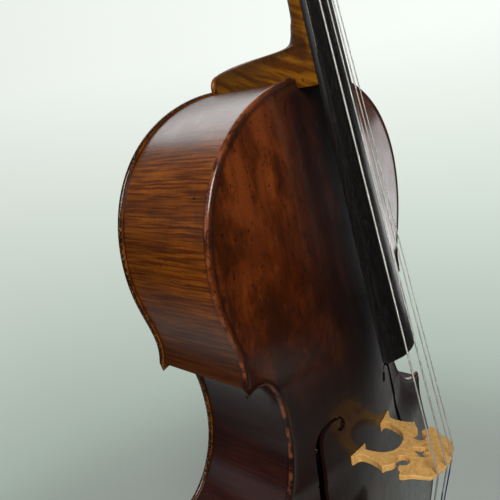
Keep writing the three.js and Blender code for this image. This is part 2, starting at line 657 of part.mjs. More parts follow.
function bridge() {
  const crown = [];
  for (let k = 1; k < 8; k++) {
    const x = THREE.MathUtils.lerp(32, -32, k / 8);
    crown.push([x, STRING_TOP + FOOT_Y - x ** 2 / (2 * BOARD_RADIUS) - 0.4]);
  }
  const flip = (pairs) => pairs.map(([x, height]) => [-x, height]).reverse();
  const outline = [...BRIDGE_LEG, ...crown, ...flip(BRIDGE_LEG.slice(1))];
  const heart = [...BRIDGE_HEART, ...flip(BRIDGE_HEART.slice(1, -1))];
  const place = (pairs) => pairs.map(([x, height]) => point(x, height));
  const shape = new THREE.Shape(place(outline));
  shape.holes.push(new THREE.Path(place(heart)));
  const geometry = new THREE.ExtrudeGeometry(shape, { depth: 1, bevelEnabled: false });
  const position = geometry.attributes.position;
  for (let k = 0; k < position.count; k++) {
    const height = position.getY(k);
    const half = THREE.MathUtils.mapLinear(height, 0, 90, BRIDGE_THICK.feet, BRIDGE_THICK.top) / 2;
    const z = BRIDGE_Z + (position.getZ(k) > 0.5 ? half : -half);
    position.setXYZ(k, position.getX(k), FOOT_Y - height, z);
  }
  let solid = toSolid(facingOut(geometry));
  // The feet are cut to the arch of the belly.
  solid = solid.subtract(archedPlate(BELLY_ARCH, -1, 4 * EDGE).translate([0, -GAP, 0]));
  for (const string of STRINGS) solid = solid.subtract(toSolid(stringTube(string, GAP)));
  return toGeometry(solid);
}

// ---------------------------------------------------------------- inside pieces
function bassBar(belly) {
  const half = 5.5;
  const centreX = -22;
  const ends = [-95, -675];
  const outer = [];
  const inner = [];
  for (let k = 0; k <= 8; k++) {
    const z = THREE.MathUtils.lerp(ends[0], ends[1], k / 8);
    const wood = bellyInside(centreX, z);
    outer.push(point(wood - 1.5, z));
    inner.push(point(wood + 5 + 18 * Math.sin((Math.PI * k) / 8), z));
  }
  const blank = toSolid(profile([...outer, ...inner.reverse()], centreX - half, centreX + half));
  return toGeometry(blank.subtract(belly.translate([0, GAP, 0])));
}

const POST = { x: 24, z: BRIDGE_Z - 20, radius: 5.5 };

function soundPost(belly, back) {
  const front = bellyInside(POST.x, POST.z) - 2;
  const rear = DEPTH - EDGE + archHeight(POST.x, POST.z, BACK_ARCH) + 2;
  const blank = new THREE.CylinderGeometry(POST.radius, POST.radius, rear - front, 16);
  const solid = toSolid(blank.translate(POST.x, (front + rear) / 2, POST.z));
  return toGeometry(solid.subtract(belly.translate([0, GAP, 0])).subtract(back.translate([0, -GAP, 0])));
}

const RIB_BACK = OVERHANG + RIB;
const BLOCK_LINE = RIB_BACK + GAP; // where blocks and linings start, inwards from the outline

function endBlockOutline(curve, half, depth) {
  const edge = inset(curve, BLOCK_LINE).filter((p) => p.x < half && p.x > 0.5);
  const limit = point(half, widthLine(curve, half));
  const middleZ = inset(curve, BLOCK_LINE).find((p) => Math.abs(p.x) < 0.5).y;
  const inward = middleZ < -BODY_LENGTH / 2 ? 1 : -1;
  const right = [point(half, middleZ + inward * depth), limit, ...edge.sort((a, b) => b.x - a.x)];
  return [...right, point(0, middleZ), ...mirrored(right).reverse()];
}

// The z of an inset curve at a given x, near the middle of the top or the bottom.
function widthLine(curve, x) {
  const line = inset(curve, BLOCK_LINE);
  const k = line.findIndex((p, i) => i > 0 && (p.x - x) * (line[i - 1].x - x) <= 0);
  const t = (x - line[k - 1].x) / (line[k].x - line[k - 1].x);
  return THREE.MathUtils.lerp(line[k - 1].y, line[k].y, t);
}

const CORNER_REACH = 40; // length of the corner blocks along the ribs of the large bouts
const WAIST_REACH = 22; // and along the ribs of the waist

// Filled between the two ribs of a corner: one curve runs into the corner and the next one leaves it.
function cornerBlock(arriving, leaving, side) {
  const outline = [...inset(arriving, BLOCK_LINE), ...inset(leaving, BLOCK_LINE)];
  return slab(side > 0 ? outline : mirrored(outline), EDGE, DEPTH - EDGE);
}

function strip(points, from, thickness, side, y0, y1) {
  const outline = [...inset(points, from), ...inset(points, from + thickness).reverse()];
  return slab(side > 0 ? outline : mirrored(outline), y0, y1);
}

const lengthOf = (points) => points.reduce((sum, p, k) => sum + (k ? p.distanceTo(points[k - 1]) : 0), 0);
const firstPart = (points, reach) => trimmed(points, 0, lengthOf(points) - reach);
const lastPart = (points, reach) => trimmed(points, lengthOf(points) - reach, 0);

// ---------------------------------------------------------------- endpin and tail fastening
const GUT_RADIUS = 1.6;
const GUT_HALF = 8;
const PLUG_TOP = -(BODY_LENGTH - OVERHANG) - GAP;
const GROOVE_Z = PLUG_TOP - 6;
const COLLAR_Z = PLUG_TOP - 17;
const PLUG_PROFILE = [
  [5.3, 28], [5.3, -25.5], [12.5, -25.5], [14.5, -23], [14.5, -11], [13.5, -9.5], [8.8, -8.6], [8.8, -3.6],
  [15.5, -3], [15.5, 0], [12.2, 0], [10.8, 28], [5.3, 28],
];

function tailgut() {
  const half = [
    fromTail(GUT_HALF, 0.5, -TAIL_LENGTH + 25),
    fromTail(GUT_HALF, 0.5, -TAIL_LENGTH - 2),
    new THREE.Vector3(GUT_HALF, -9.8, -BODY_LENGTH + 8),
    new THREE.Vector3(GUT_HALF, -8, -BODY_LENGTH - 1),
    new THREE.Vector3(GUT_HALF, -3.5, -BODY_LENGTH - 3.6),
    new THREE.Vector3(GUT_HALF + 0.4, 8, GROOVE_Z),
    new THREE.Vector3(GUT_HALF + 2, 40, GROOVE_Z),
  ];
  const around = [];
  const radius = 8.8 + GUT_RADIUS + 0.4;
  for (let k = 0; k <= 8; k++) {
    const angle = (k * Math.PI) / 8;
    around.push(new THREE.Vector3(radius * Math.cos(angle), ENDPIN_Y + radius * Math.sin(angle), GROOVE_Z));
  }
  const other = half.map((p) => new THREE.Vector3(-p.x, p.y, p.z)).reverse();
  return tube([...half, ...around, ...other], GUT_RADIUS, 8);
}

function endpinPlug() {
  const body = turned(PLUG_PROFILE, 20).translate(0, ENDPIN_Y, PLUG_TOP);
  const hole = new THREE.CylinderGeometry(2.3, 2.3, 20, 10).translate(0, ENDPIN_Y + 13, COLLAR_Z);
  return toGeometry(toSolid(body).subtract(toSolid(hole)));
}

function endpinThumbscrew() {
  const stem = turned([[0, 0], [2, 0], [2, 10.2], [6.5, 10.6], [6.5, 13], [3, 14], [3, 15], [0, 15]], 12)
    .rotateX(-Math.PI / 2);
  const wing = new THREE.SphereGeometry(1, 10, 6).scale(9.5, 5, 2).translate(0, 18, 0);
  const solid = toSolid(stem).add(toSolid(wing));
  return toGeometry(solid).translate(0, ENDPIN_Y + ROD_RADIUS + 0.4, COLLAR_Z);
}

const ROD_LENGTH = 430;
const ROD_FOOT = 10; // bottom of the rod above the ground, inside the rubber tip

const endpinRod = () =>
  turned([[0, ROD_FOOT], [ROD_RADIUS, ROD_FOOT], [ROD_RADIUS, ROD_FOOT + ROD_LENGTH], [0, ROD_FOOT + ROD_LENGTH]], 20)
    .translate(0, ENDPIN_Y, -BODY_TOP);

const endpinTip = () =>
  turned([
    [0, 0], [8, 0], [9.5, 3], [7.8, 28], [ROD_RADIUS + GAP, 28], [ROD_RADIUS + GAP, ROD_FOOT - GAP], [0, ROD_FOOT - GAP],
  ], 20).translate(0, ENDPIN_Y, -BODY_TOP);

// ---------------------------------------------------------------- assembly
const cello = new THREE.Group();
const body = new THREE.Group();
body.position.set(0, -DEPTH / 2, BODY_TOP);
cello.add(body);

const tailFrame = new THREE.Group();
tailFrame.position.set(0, TAIL_TOP.y, TAIL_TOP.z);
tailFrame.rotation.x = TAIL_TILT;
body.add(tailFrame);

function piece(name, geometry, material, parent = body) {
  const mesh = new THREE.Mesh(geometry, material);
  mesh.name = name;
  parent.add(mesh);
}

const neckTool = toSolid(neckBlank(GAP));

// Plates
const BUTTON_HALF = 13;
const button = new THREE.CylinderGeometry(BUTTON_HALF, BUTTON_HALF, EDGE, 20).translate(0, DEPTH - EDGE / 2, 3);
const SADDLE = { half: 19, depth: 8 };
const saddleNotch = box(
  -SADDLE.half, SADDLE.half, -20, 20, -BODY_LENGTH - 10, -BODY_LENGTH + SADDLE.depth,
);
let belly = archedPlate(BELLY_ARCH, -1, EDGE).intersect(toSolid(slab(fullOutline(), -BELLY_ARCH - 10, 20)));
for (const side of [-1, 1]) belly = belly.subtract(soundHole(side));
belly = belly.subtract(neckTool).subtract(toSolid(saddleNotch));
const back = archedPlate(BACK_ARCH, 1, EDGE)
  .translate([0, DEPTH, 0])
  .intersect(toSolid(slab(fullOutline(), DEPTH - 10, DEPTH + BACK_ARCH + 10)))
  .add(toSolid(button));
piece('belly', toGeometry(belly), BELLY_WOOD);
piece('back', toGeometry(back), BACK_WOOD);

// Ribs, linings and corner blocks, the same on both sides
const PLUG_BORE = 12.6;
const plugTool = toSolid(new THREE.CylinderGeometry(PLUG_BORE, PLUG_BORE, 90, 20).rotateX(Math.PI / 2)
  .translate(0, ENDPIN_Y, -BODY_LENGTH));
const CORNER_CURVE = trimmed(WAIST_CURVE, 6, 6);
const LINING = { thickness: 2.2, height: 14 };
const RIB_CURVES = {
  upper: UPPER_CURVE,
  waist: trimmed(WAIST_CURVE, 4, 4),
  lower: LOWER_CURVE,
};
const LINING_CURVES = {
  upper: trimmed(UPPER_CURVE, 62, CORNER_REACH + 4),
  lower: trimmed(LOWER_CURVE, CORNER_REACH + 4, 52),
};
for (const [sideName, side] of [['bass', -1], ['treble', 1]]) {
  for (const [bout, curve] of Object.entries(RIB_CURVES)) {
    const blank = toSolid(strip(curve, OVERHANG, RIB, side, EDGE, DEPTH - EDGE));
    piece(`rib_${bout}_${sideName}`, toGeometry(blank.subtract(neckTool).subtract(plugTool)), RIB_WOOD);
  }
  for (const [bout, curve] of Object.entries(LINING_CURVES)) {
    const rows = { front: [EDGE, EDGE + LINING.height], back: [DEPTH - EDGE - LINING.height, DEPTH - EDGE] };
    for (const [plate, [y0, y1]] of Object.entries(rows)) {
      const lining = strip(curve, BLOCK_LINE, LINING.thickness, side, y0, y1);
      piece(`lining_${plate}_${bout}_${sideName}`, lining, PLAIN_WOOD);
    }
  }
  const corners = {
    upper: [lastPart(UPPER_CURVE, CORNER_REACH), firstPart(CORNER_CURVE, WAIST_REACH)],
    lower: [lastPart(CORNER_CURVE, WAIST_REACH), firstPart(LOWER_CURVE, CORNER_REACH)],
  };
  for (const [corner, [arriving, leaving]] of Object.entries(corners)) {
    piece(`corner_block_${corner}_${sideName}`, cornerBlock(arriving, leaving, side), PLAIN_WOOD);
  }
}

// End blocks, bar and post
const topBlock = toSolid(slab(endBlockOutline(UPPER_CURVE, 56, 30), EDGE, DEPTH - EDGE)).subtract(neckTool);
piece('top_block', toGeometry(topBlock), PLAIN_WOOD);
const endBlock = toSolid(slab(endBlockOutline(LOWER_CURVE, 46, 24), EDGE, DEPTH - EDGE)).subtract(plugTool);
piece('end_block', toGeometry(endBlock), PLAIN_WOOD);
piece('bass_bar', bassBar(belly), PLAIN_WOOD);
piece('sound_post', soundPost(belly, back), PLAIN_WOOD);

// Neck and head
piece('neck', neckBlank(0), NECK_WOOD);
piece('pegbox_scroll', pegboxAndScroll(), SCROLL_WOOD);
piece('fingerboard', fingerboard(), EBONY);
let nutSolid = nut();
for (const string of STRINGS) nutSolid = nutSolid.subtract(toSolid(stringTube(string, GAP)));
piece('nut', toGeometry(nutSolid), EBONY);

// Saddle, bridge, tailpiece and its cord
const saddleShape = [
  [EDGE - GAP, -SADDLE.depth + GAP], [-6, -SADDLE.depth + GAP], [-7, -5], [-7, -2.5], [-5, -0.5], [EDGE - GAP, -0.5],
].map(([y, inside]) => point(y, -BODY_LENGTH - inside));
piece('saddle', profile(saddleShape, -SADDLE.half + GAP, SADDLE.half - GAP), EBONY);
piece('bridge', bridge(), BRIDGE_WOOD);
piece('tailpiece', tailpiece(), EBONY, tailFrame);
piece('tailgut', tailgut(), CORD);

// Endpin
piece('endpin_plug', endpinPlug(), EBONY);
piece('endpin_thumbscrew', endpinThumbscrew(), STEEL);
piece('endpin_rod', endpinRod(), STEEL);
piece('endpin_tip', endpinTip(), RUBBER);

// One set for each string
for (const string of STRINGS) {
  piece(`peg_${string.name}`, peg(string), EBONY);
  piece(`winding_${string.name}`, winding(string), WOUND_STEEL);
  piece(`string_${string.name}`, stringTube(string, 0), WOUND_STEEL);
  piece(`tuner_lever_${string.name}`, tunerLever(string), BRASS, tailFrame);
  piece(`tuner_screw_${string.name}`, tunerScrew(string), BRASS, tailFrame);
  piece(`tuner_knob_${string.name}`, tunerKnob(string), BRASS, tailFrame);
}

export default cello;
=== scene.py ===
"""The looks of the cello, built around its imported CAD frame.

Shapes are drawn in the instrument's own millimetres, as in the CAD source: x towards the treble side, y from
the belly's edge (0) towards the back, z up with 0 at the body's top edge. to_frame() turns them into metres of
the frame.
"""

import math
from collections import namedtuple

import bmesh
import bpy
import numpy as np
from mathutils import Matrix, Vector, geometry, kdtree


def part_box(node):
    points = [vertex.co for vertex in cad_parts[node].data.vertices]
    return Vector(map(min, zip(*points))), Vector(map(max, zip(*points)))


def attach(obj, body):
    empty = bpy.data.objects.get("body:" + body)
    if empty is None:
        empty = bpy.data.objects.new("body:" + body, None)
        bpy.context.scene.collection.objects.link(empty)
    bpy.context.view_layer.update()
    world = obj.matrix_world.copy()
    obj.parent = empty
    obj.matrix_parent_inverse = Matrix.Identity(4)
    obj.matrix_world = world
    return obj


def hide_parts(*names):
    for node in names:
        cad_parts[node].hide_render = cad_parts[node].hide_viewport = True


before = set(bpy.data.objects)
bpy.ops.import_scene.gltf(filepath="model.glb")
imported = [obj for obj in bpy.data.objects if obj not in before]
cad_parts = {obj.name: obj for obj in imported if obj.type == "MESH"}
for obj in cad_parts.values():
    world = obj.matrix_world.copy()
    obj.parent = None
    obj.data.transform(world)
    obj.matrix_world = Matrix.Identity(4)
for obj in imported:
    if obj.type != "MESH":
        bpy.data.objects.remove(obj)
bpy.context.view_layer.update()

# ---------------- driving dimensions, in millimetres
MM = 0.001
GLUE_GAP = 0.3  # between two pieces that are glued together
EDGE = 4.5  # thickness of both plates
OVERHANG = 3.5  # plate edge beyond the rib
RIB = 1.3  # thickness of a rib
BELLY_ARCH = 26
BACK_ARCH = 25
BODY_LENGTH = 755
UPPER_HALF, WAIST_HALF, LOWER_HALF = 172.5, 112.8, 220
NUT_Z, NUT_LENGTH = 280, 10
BOARD_END = -277.6  # the fingerboard's lower end
BOARD_RADIUS = 62  # of the fingerboard's rounded face
BOARD_HALF_NUT, BOARD_HALF_END = 15.75, 31.2  # half the fingerboard's width at both ends
BOARD_EDGE = 6.4  # the fingerboard's thickness along its edges
OVERSTAND = 22.9  # from the belly's edge to the fingerboard's underside, at the body's top
BOARD_SLOPE = 0.1464  # of the fingerboard's underside against the body
BRIDGE_Z = -399.5
BRIDGE_FOOT_HALF = 45
STRING_TOP = 111.4  # how high the strings' round stands over the belly's edge, at the bridge
ROD_RADIUS = 5

# Where the CAD put the body: its depth, its front edge and its top edge.
rib_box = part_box("rib_upper_bass")
DEPTH = (rib_box[1].y - rib_box[0].y) / MM + 2 * EDGE
FRONT = rib_box[0].y - EDGE * MM
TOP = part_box("fingerboard")[1].z - NUT_Z * MM


def to_frame(points):
    """Body millimetres to metres in the frame."""
    return np.asarray(points, float) * MM + np.array([0, FRONT, TOP])


# ---------------- curves
def bezier(a, b, c, d, count):
    t = np.linspace(0, 1, count)[:, None]
    a, b, c, d = (np.array(p, float) for p in (a, b, c, d))
    return (1 - t) ** 3 * a + 3 * (1 - t) ** 2 * t * b + 3 * (1 - t) * t**2 * c + t**3 * d


def spline(points, per_span):
    """A smooth curve through the points, with per_span steps between two of them."""
    p = np.array(points, float)
    p = np.vstack([2 * p[0] - p[1], p, 2 * p[-1] - p[-2]])
    t = np.linspace(0, 1, per_span, endpoint=False)[:, None]
    made = []
    for k in range(1, len(p) - 2):
        a, b, c, d = p[k - 1 : k + 3]
        bend = (2 * a - 5 * b + 4 * c - d) * t**2 + (3 * b - a - 3 * c + d) * t**3
        made.append(0.5 * (2 * b + (c - a) * t + bend))
    return np.vstack([*made, p[-2:-1]])


def arc_lengths(points):
    return np.r_[0, np.cumsum(np.linalg.norm(np.diff(points, axis=0), axis=1))]


def evenly(points, step):
    """The same path with points about one step apart."""
    p = np.array(points, float)
    run = arc_lengths(p)
    places = np.linspace(0, run[-1], max(2, round(run[-1] / step) + 1))
    return np.column_stack([np.interp(places, run, p[:, k]) for k in range(p.shape[1])])


def around(count):
    """Angles that go once round."""
    return np.linspace(0, 2 * math.pi, count, endpoint=False)


def level(x, y, z):
    """Points at one height."""
    return np.column_stack([x, y, np.full(len(x), z)])


def smooth(t):
    t = np.clip(t, 0, 1)
    return t * t * (3 - 2 * t)


def ease(t, start, end):
    """0 before start, 1 after end, smooth in between."""
    return smooth((np.asarray(t, float) - start) / (end - start))


# ---------------- the body's outline, treble half
# Points are x and z.
UPPER_CORNER = (158.3, -250.9)
LOWER_CORNER = (190.6, -435.8)
CORNER_WIDTH = 9.7
STEP = 2.0

UPPER_CURVE = evenly(
    np.vstack([
        bezier((0, 0), (103.2, 0), (UPPER_HALF, -54.8), (UPPER_HALF, -145.6), 80),
        bezier((UPPER_HALF, -145.6), (UPPER_HALF, -194.5), (148.9, -220.7), UPPER_CORNER, 50)[1:],
    ]), STEP)
WAIST_CURVE = evenly(
    np.vstack([
        bezier((156.8, UPPER_CORNER[1] - CORNER_WIDTH), (131.1, -252.1), (WAIST_HALF, -268.5),
               (WAIST_HALF, -330.8), 60),
        bezier((WAIST_HALF, -330.8), (WAIST_HALF, -387.7), (146.3, -429.2),
               (188.6, LOWER_CORNER[1] + CORNER_WIDTH), 60)[1:],
    ]), STEP)
LOWER_CURVE = evenly(
    np.vstack([
        bezier(LOWER_CORNER, (182.6, -475.8), (LOWER_HALF, -540), (LOWER_HALF, -600), 60),
        bezier((LOWER_HALF, -600), (LOWER_HALF, -685), (123.2, -BODY_LENGTH), (0, -BODY_LENGTH), 90)[1:],
    ]), STEP)
HALF_OUTLINE = np.vstack([UPPER_CURVE, WAIST_CURVE, LOWER_CURVE])


def mirrored(points):
    return np.asarray(points) * np.array([-1, 1])


OUTLINE = np.vstack([HALF_OUTLINE, mirrored(HALF_OUTLINE[1:-1])[::-1]])


def normals_2d(points, closed):
    """Unit normals of a path in the plane, to the left of its direction."""
    if closed:
        along = np.roll(points, -1, 0) - np.roll(points, 1, 0)
    else:
        along = np.gradient(points, axis=0)
    along /= np.maximum(np.linalg.norm(along, axis=1), 1e-9)[:, None]
    return np.column_stack([-along[:, 1], along[:, 0]])


def inside(points, polygon):
    """Whether each point lies in the closed polygon."""
    x, z = np.asarray(points, float).T
    odd = np.zeros(len(x), bool)
    for (x0, z0), (x1, z1) in zip(polygon, np.roll(polygon, -1, 0)):
        if z0 == z1:
            continue
        crosses = (z0 > z) != (z1 > z)
        odd ^= crosses & (x < (x1 - x0) * (z - z0) / (z1 - z0) + x0)
    return odd


def distance_to(points, path, closed=True):
    """Distance from each point to the path."""
    path = np.asarray(path, float)
    tree = kdtree.KDTree(len(path))
    for k, (x, z) in enumerate(path):
        tree.insert((x, z, 0), k)
    tree.balance()
    found = np.empty(len(points))
    last = len(path) - 1
    for i, p in enumerate(np.asarray(points, float)):
        k = tree.find((p[0], p[1], 0))[1]
        best = 1e9
        for a, b in ((k - 1, k), (k, k + 1)):
            if closed:
                a, b = a % len(path), b % len(path)
            elif a < 0 or b > last:
                continue
            run = path[b] - path[a]
            t = min(max(float((p - path[a]) @ run) / max(float(run @ run), 1e-12), 0), 1)
            best = min(best, math.hypot(*(p - path[a] - run * t)))
        found[i] = best
    return found


def run_along(points, path):
    """The length along the path at the place nearest to each point."""
    start, step = path[:-1], np.diff(path, axis=0)
    offset = points[:, None] - start[None]
    t = np.clip((offset * step).sum(axis=2) / (step**2).sum(axis=1), 0, 1)
    gap = np.linalg.norm(offset - step * t[:, :, None], axis=2)
    nearest = gap.argmin(axis=1)
    rows = np.arange(len(points))
    return arc_lengths(path)[nearest] + t[rows, nearest] * np.linalg.norm(step, axis=1)[nearest]


# ---------------- arching
def width_at(curve, down):
    order = np.argsort(-curve[:, 1])
    return np.interp(down, -curve[order, 1], curve[order, 0])


WAIST_MIDDLE = WAIST_CURVE[(WAIST_CURVE[:, 1] < -274) & (WAIST_CURVE[:, 1] > -395)]


def arch_half_width(down):
    upper = width_at(UPPER_CURVE, down)
    upper += (width_at(WAIST_MIDDLE, down) - upper) * ease(down, 215, 275)
    return upper + (width_at(LOWER_CURVE, down) - upper) * ease(down, 408, 480)


def arch_height(x, z, crown):
    down = np.clip(-np.asarray(z, float), 0, BODY_LENGTH)
    along = np.clip((down - 4) / (BODY_LENGTH - 8), 0, 1)
    across = np.clip(np.abs(x) / np.maximum(arch_half_width(down), 1), 0, 1)
    return crown * (1 - np.abs(2 * along - 1) ** 2.6) * (1 - across**2) ** 1.35


# ---------------- meshes
def cleaned(mesh, weld):
    """Lets loose points go, joins those closer than weld, and turns every face outwards."""
    work = bmesh.new()
    work.from_mesh(mesh)
    bmesh.ops.delete(work, geom=[v for v in work.verts if not v.link_faces], context="VERTS")
    if weld:
        bmesh.ops.remove_doubles(work, verts=work.verts, dist=weld)
    bmesh.ops.recalc_face_normals(work, faces=work.faces)
    work.to_mesh(mesh)
    work.free()


def in_scene(name, data):
    made = bpy.data.objects.new(name, data)
    bpy.context.scene.collection.objects.link(made)
    return made


def piece(name, vertices, faces, material, node, slot, body="instrument", values=None, sharp=35.0):
    """A closed piece from body millimetres, which rides on its body and stands for a CAD node.
    values holds one list of numbers per vertex for each attribute that the material reads."""
    mesh = bpy.data.meshes.new(name)
    mesh.from_pydata(to_frame(vertices).tolist(), [], faces)
    for key, numbers in (values or {}).items():
        attribute = mesh.attributes.new(key, "FLOAT", "POINT")
        attribute.data.foreach_set("value", np.asarray(numbers, np.float32))
    cleaned(mesh, 1e-6)
    mesh.shade_smooth()
    mesh.set_sharp_from_angle(angle=math.radians(sharp))
    mesh.materials.append(material)
    shown = in_scene(mesh.name, mesh)
    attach(shown, body)
    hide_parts(node)


def loft(rings, capped=True):
    """Vertices and faces of rings with equally many points, joined one after the other."""
    rings = [np.asarray(ring, float) for ring in rings]
    count = len(rings[0])
    vertices = list(np.vstack(rings))
    faces = []
    for r in range(len(rings) - 1):
        a, b = r * count, (r + 1) * count
        for k in range(count):
            n = (k + 1) % count
            faces.append((a + k, a + n, b + n, b + k))
    if capped:
        for start, ring in ((0, rings[0]), ((len(rings) - 1) * count, rings[-1])):
            vertices.append(ring.mean(axis=0))
            tip = len(vertices) - 1
            faces += [(start + k, start + (k + 1) % count, tip) for k in range(count)]
    return np.array(vertices), faces


def lathe(profile, sides, centre, axis="z", sign=1):
    """A turned piece from pairs of radius and place along its axis.
    A profile that closes on itself leaves a bore."""
    profile = np.array(profile, float)
    angle = around(sides)
    rings = []
    for radius, place in profile:
        u, v = radius * np.cos(angle), radius * np.sin(angle)
        w = np.full(sides, place * sign)
        rings.append(np.column_stack({"z": (u, v, w), "x": (w, u, v), "y": (u, w, v)}[axis]))
    vertices, faces = loft(rings, capped=not np.allclose(profile[0], profile[-1]))
    return vertices + np.array(centre), faces


def tube(path, radius, sides):
    """Vertices, faces and the length along a round tube; radius may be one number or one for each point."""
    path = np.asarray(path, float)
    radii = np.broadcast_to(radius, len(path))
    along = np.gradient(path, axis=0)
    along /= np.linalg.norm(along, axis=1)[:, None]
    side = np.cross(along[0], [0.3, 0.2, 0.9])
    angle = around(sides)[:, None]
    rings = []
    for p, t, r in zip(path, along, radii):
        side = side - t * (side @ t)
        side /= np.linalg.norm(side)
        up = np.cross(t, side)
        rings.append(p + r * (np.cos(angle) * side + np.sin(angle) * up))
    vertices, faces = loft(rings)
    run = arc_lengths(path)
    return vertices, faces, np.r_[np.repeat(run, sides), run[0], run[-1]]


def merged(*parts):
    """Several lists of vertices and faces as one."""
    vertices, faces = [], []
    for part_vertices, part_faces in parts:
        first = sum(len(v) for v in vertices)
        vertices.append(np.asarray(part_vertices))
        faces += [tuple(first + k for k in face) for face in part_faces]
    return np.vstack(vertices), faces


def sheet(outline, soft_edge, holes, rings, spacing, surfaces):
    """A closed sheet over the region inside an outline and outside its holes.
    rings are distances inwards from the outline at which the surface needs points, and spacing is that of the
    inner points. surfaces(points, distance) returns both faces' 3-D points. With a soft edge both faces meet
    at the outline; everywhere else a wall joins them. Gives vertices, faces and the vertices' flat places."""
    points = [np.asarray(outline, float), *holes]
    edges = []
    first = 0
    for loop in points:
        n = len(loop)
        edges += [(first + k, first + (k + 1) % n) for k in range(n)]
        first += n
    normal = normals_2d(np.asarray(outline), closed=True)
    if not inside(outline[:1] + normal[:1] * 0.05, outline)[0]:
        normal = -normal
    extra = []
    for ring in rings:
        moved = np.asarray(outline) + normal * ring
        true_distance = distance_to(moved, outline)
        extra.append(moved[true_distance > ring - 0.04])
    low, high = np.min(outline, axis=0), np.max(outline, axis=0)
    row_gap = spacing * 0.866
    for r, z in enumerate(np.arange(low[1], high[1], row_gap)):
        x = np.arange(low[0] + (r % 2) * spacing / 2, high[0], spacing)
        extra.append(np.column_stack([x, np.full(len(x), z)]))
    grid = np.vstack(extra[len(rings):])
    grid = grid[inside(grid, outline)]
    margin = (rings[-1] if rings else 0) + spacing * 0.5
    grid = grid[distance_to(grid, outline) > margin]
    loose = np.vstack([*extra[: len(rings)], grid])
    for hole in holes:
        off = normals_2d(hole, closed=True) * 0.7
        if inside(hole[:1] + off[:1] * 0.1, hole)[0]:
            off = -off
        loose = np.vstack([loose[distance_to(loose, hole) > 1.2], hole + off])
    for hole in holes:
        loose = loose[~inside(loose, hole)]
    flat = [Vector(p) for p in np.vstack([*points, loose])]
    placed, _, triangles, *_ = geometry.delaunay_2d_cdt(flat, edges, [], 0, 1e-4)
    placed = np.array([tuple(p) for p in placed])
    corners = np.array(triangles)
    middles = placed[corners].mean(axis=1)
    wanted = inside(middles, outline)
    for hole in holes:
        wanted &= ~inside(middles, hole)
    corners = corners[wanted]
    used = np.unique(corners)
    index = np.full(len(placed), -1)
    index[used] = np.arange(len(used))
    corners, placed = index[corners], placed[used]
    distance = distance_to(placed, outline)
    front, rear = surfaces(placed, distance)
    sides, counts = np.unique(
        np.sort(np.vstack([corners[:, [0, 1]], corners[:, [1, 2]], corners[:, [2, 0]]]), axis=1),
        axis=0, return_counts=True)
    rim = sides[counts == 1]
    soft = np.zeros(len(placed), bool)
    rim_points = np.unique(rim)
    soft[rim_points] = soft_edge & (distance[rim_points] < 0.02)
    total = len(placed)
    other = np.where(soft, np.arange(total), np.arange(total) + total)
    faces = [tuple(c) for c in corners] + [tuple(other[c][::-1]) for c in corners]
    for a, b in rim:
        wall = list(dict.fromkeys([a, b, other[b], other[a]]))
        if len(wall) > 2:
            faces.append(tuple(wall))
    return np.vstack([front, rear]), faces, np.vstack([placed, placed])


def quarter_drop(distance, radius):
    """How far a rounded edge falls below the face, at a distance in from the edge."""
    t = np.clip(distance / radius, 0, 1)
    return radius * (1 - np.sqrt(1 - (1 - t) ** 2))


def solid_mesh(vertices, faces):
    """An object of these numbers, for modifiers to work on."""
    mesh = bpy.data.meshes.new("work")
    mesh.from_pydata(np.asarray(vertices).tolist(), [], faces)
    cleaned(mesh, None)
    return in_scene("work", mesh)


def applied(work):
    """The object's shape after its modifiers, as vertices and faces. The object goes."""
    shape = work.evaluated_get(bpy.context.evaluated_depsgraph_get()).to_mesh()
    vertices = np.array([v.co for v in shape.vertices])
    faces = [tuple(f.vertices) for f in shape.polygons]
    bpy.data.objects.remove(work)
    return vertices, faces


def carved(shape, *tools, operation="DIFFERENCE", bevel=0.0):
    """The shape with the tools taken out of it, or added to it, and its sharp edges rounded."""
    work = solid_mesh(*shape)
    tools = [solid_mesh(*tool) for tool in tools]
    for tool in tools:
        cut = work.modifiers.new("cut", "BOOLEAN")
        cut.operation, cut.solver, cut.object = operation, "EXACT", tool
    if bevel:
        soft = work.modifiers.new("soft", "BEVEL")
        soft.width, soft.segments, soft.limit_method = bevel, 3, "ANGLE"
        soft.angle_limit = math.radians(40)
    made = applied(work)
    for tool in tools:
        bpy.data.objects.remove(tool)
    return made


def blended(shape, voxel, softening, keep=1.0):
    """Overlapping solids melted into one, as if carved from one block."""
    work = solid_mesh(*shape)
    remesh = work.modifiers.new("remesh", "REMESH")
    remesh.mode, remesh.voxel_size = "VOXEL", voxel
    relax = work.modifiers.new("relax", "SMOOTH")
    relax.factor, relax.iterations = 0.5, softening
    if keep < 1:
        work.modifiers.new("thin", "DECIMATE").ratio = keep
    return applied(work)


def block(low, high):
    """A box between two corners."""
    (x0, y0, z0), (x1, y1, z1) = low, high
    return loft([[(x0, y, z0), (x1, y, z0), (x1, y, z1), (x0, y, z1)] for y in (y0, y1)])


# ---------------- material nodes
class Nodes:
    """A node tree written as calls."""

    def __init__(self, tree):
        self.tree = tree

    def node(self, kind, **settings):
        made = self.tree.nodes.new(kind)
        for key, value in settings.items():
            setattr(made, key, value)
        return made

    def feed(self, socket, value):
        if isinstance(value, bpy.types.NodeSocket):
            self.tree.links.new(value, socket)
        elif isinstance(value, tuple) and len(value) == 3 and socket.type == "RGBA":
            socket.default_value = (*value, 1)
        else:
            socket.default_value = value

    def mix(self, share, a, b, blend="MIX"):
        made = self.node("ShaderNodeMix", data_type="RGBA", blend_type=blend)
        self.feed(made.inputs["Factor"], share)
        colours = [socket for socket in made.inputs if socket.type == "RGBA"]
        self.feed(colours[0], a)
        self.feed(colours[1], b)
        return next(socket for socket in made.outputs if socket.type == "RGBA")


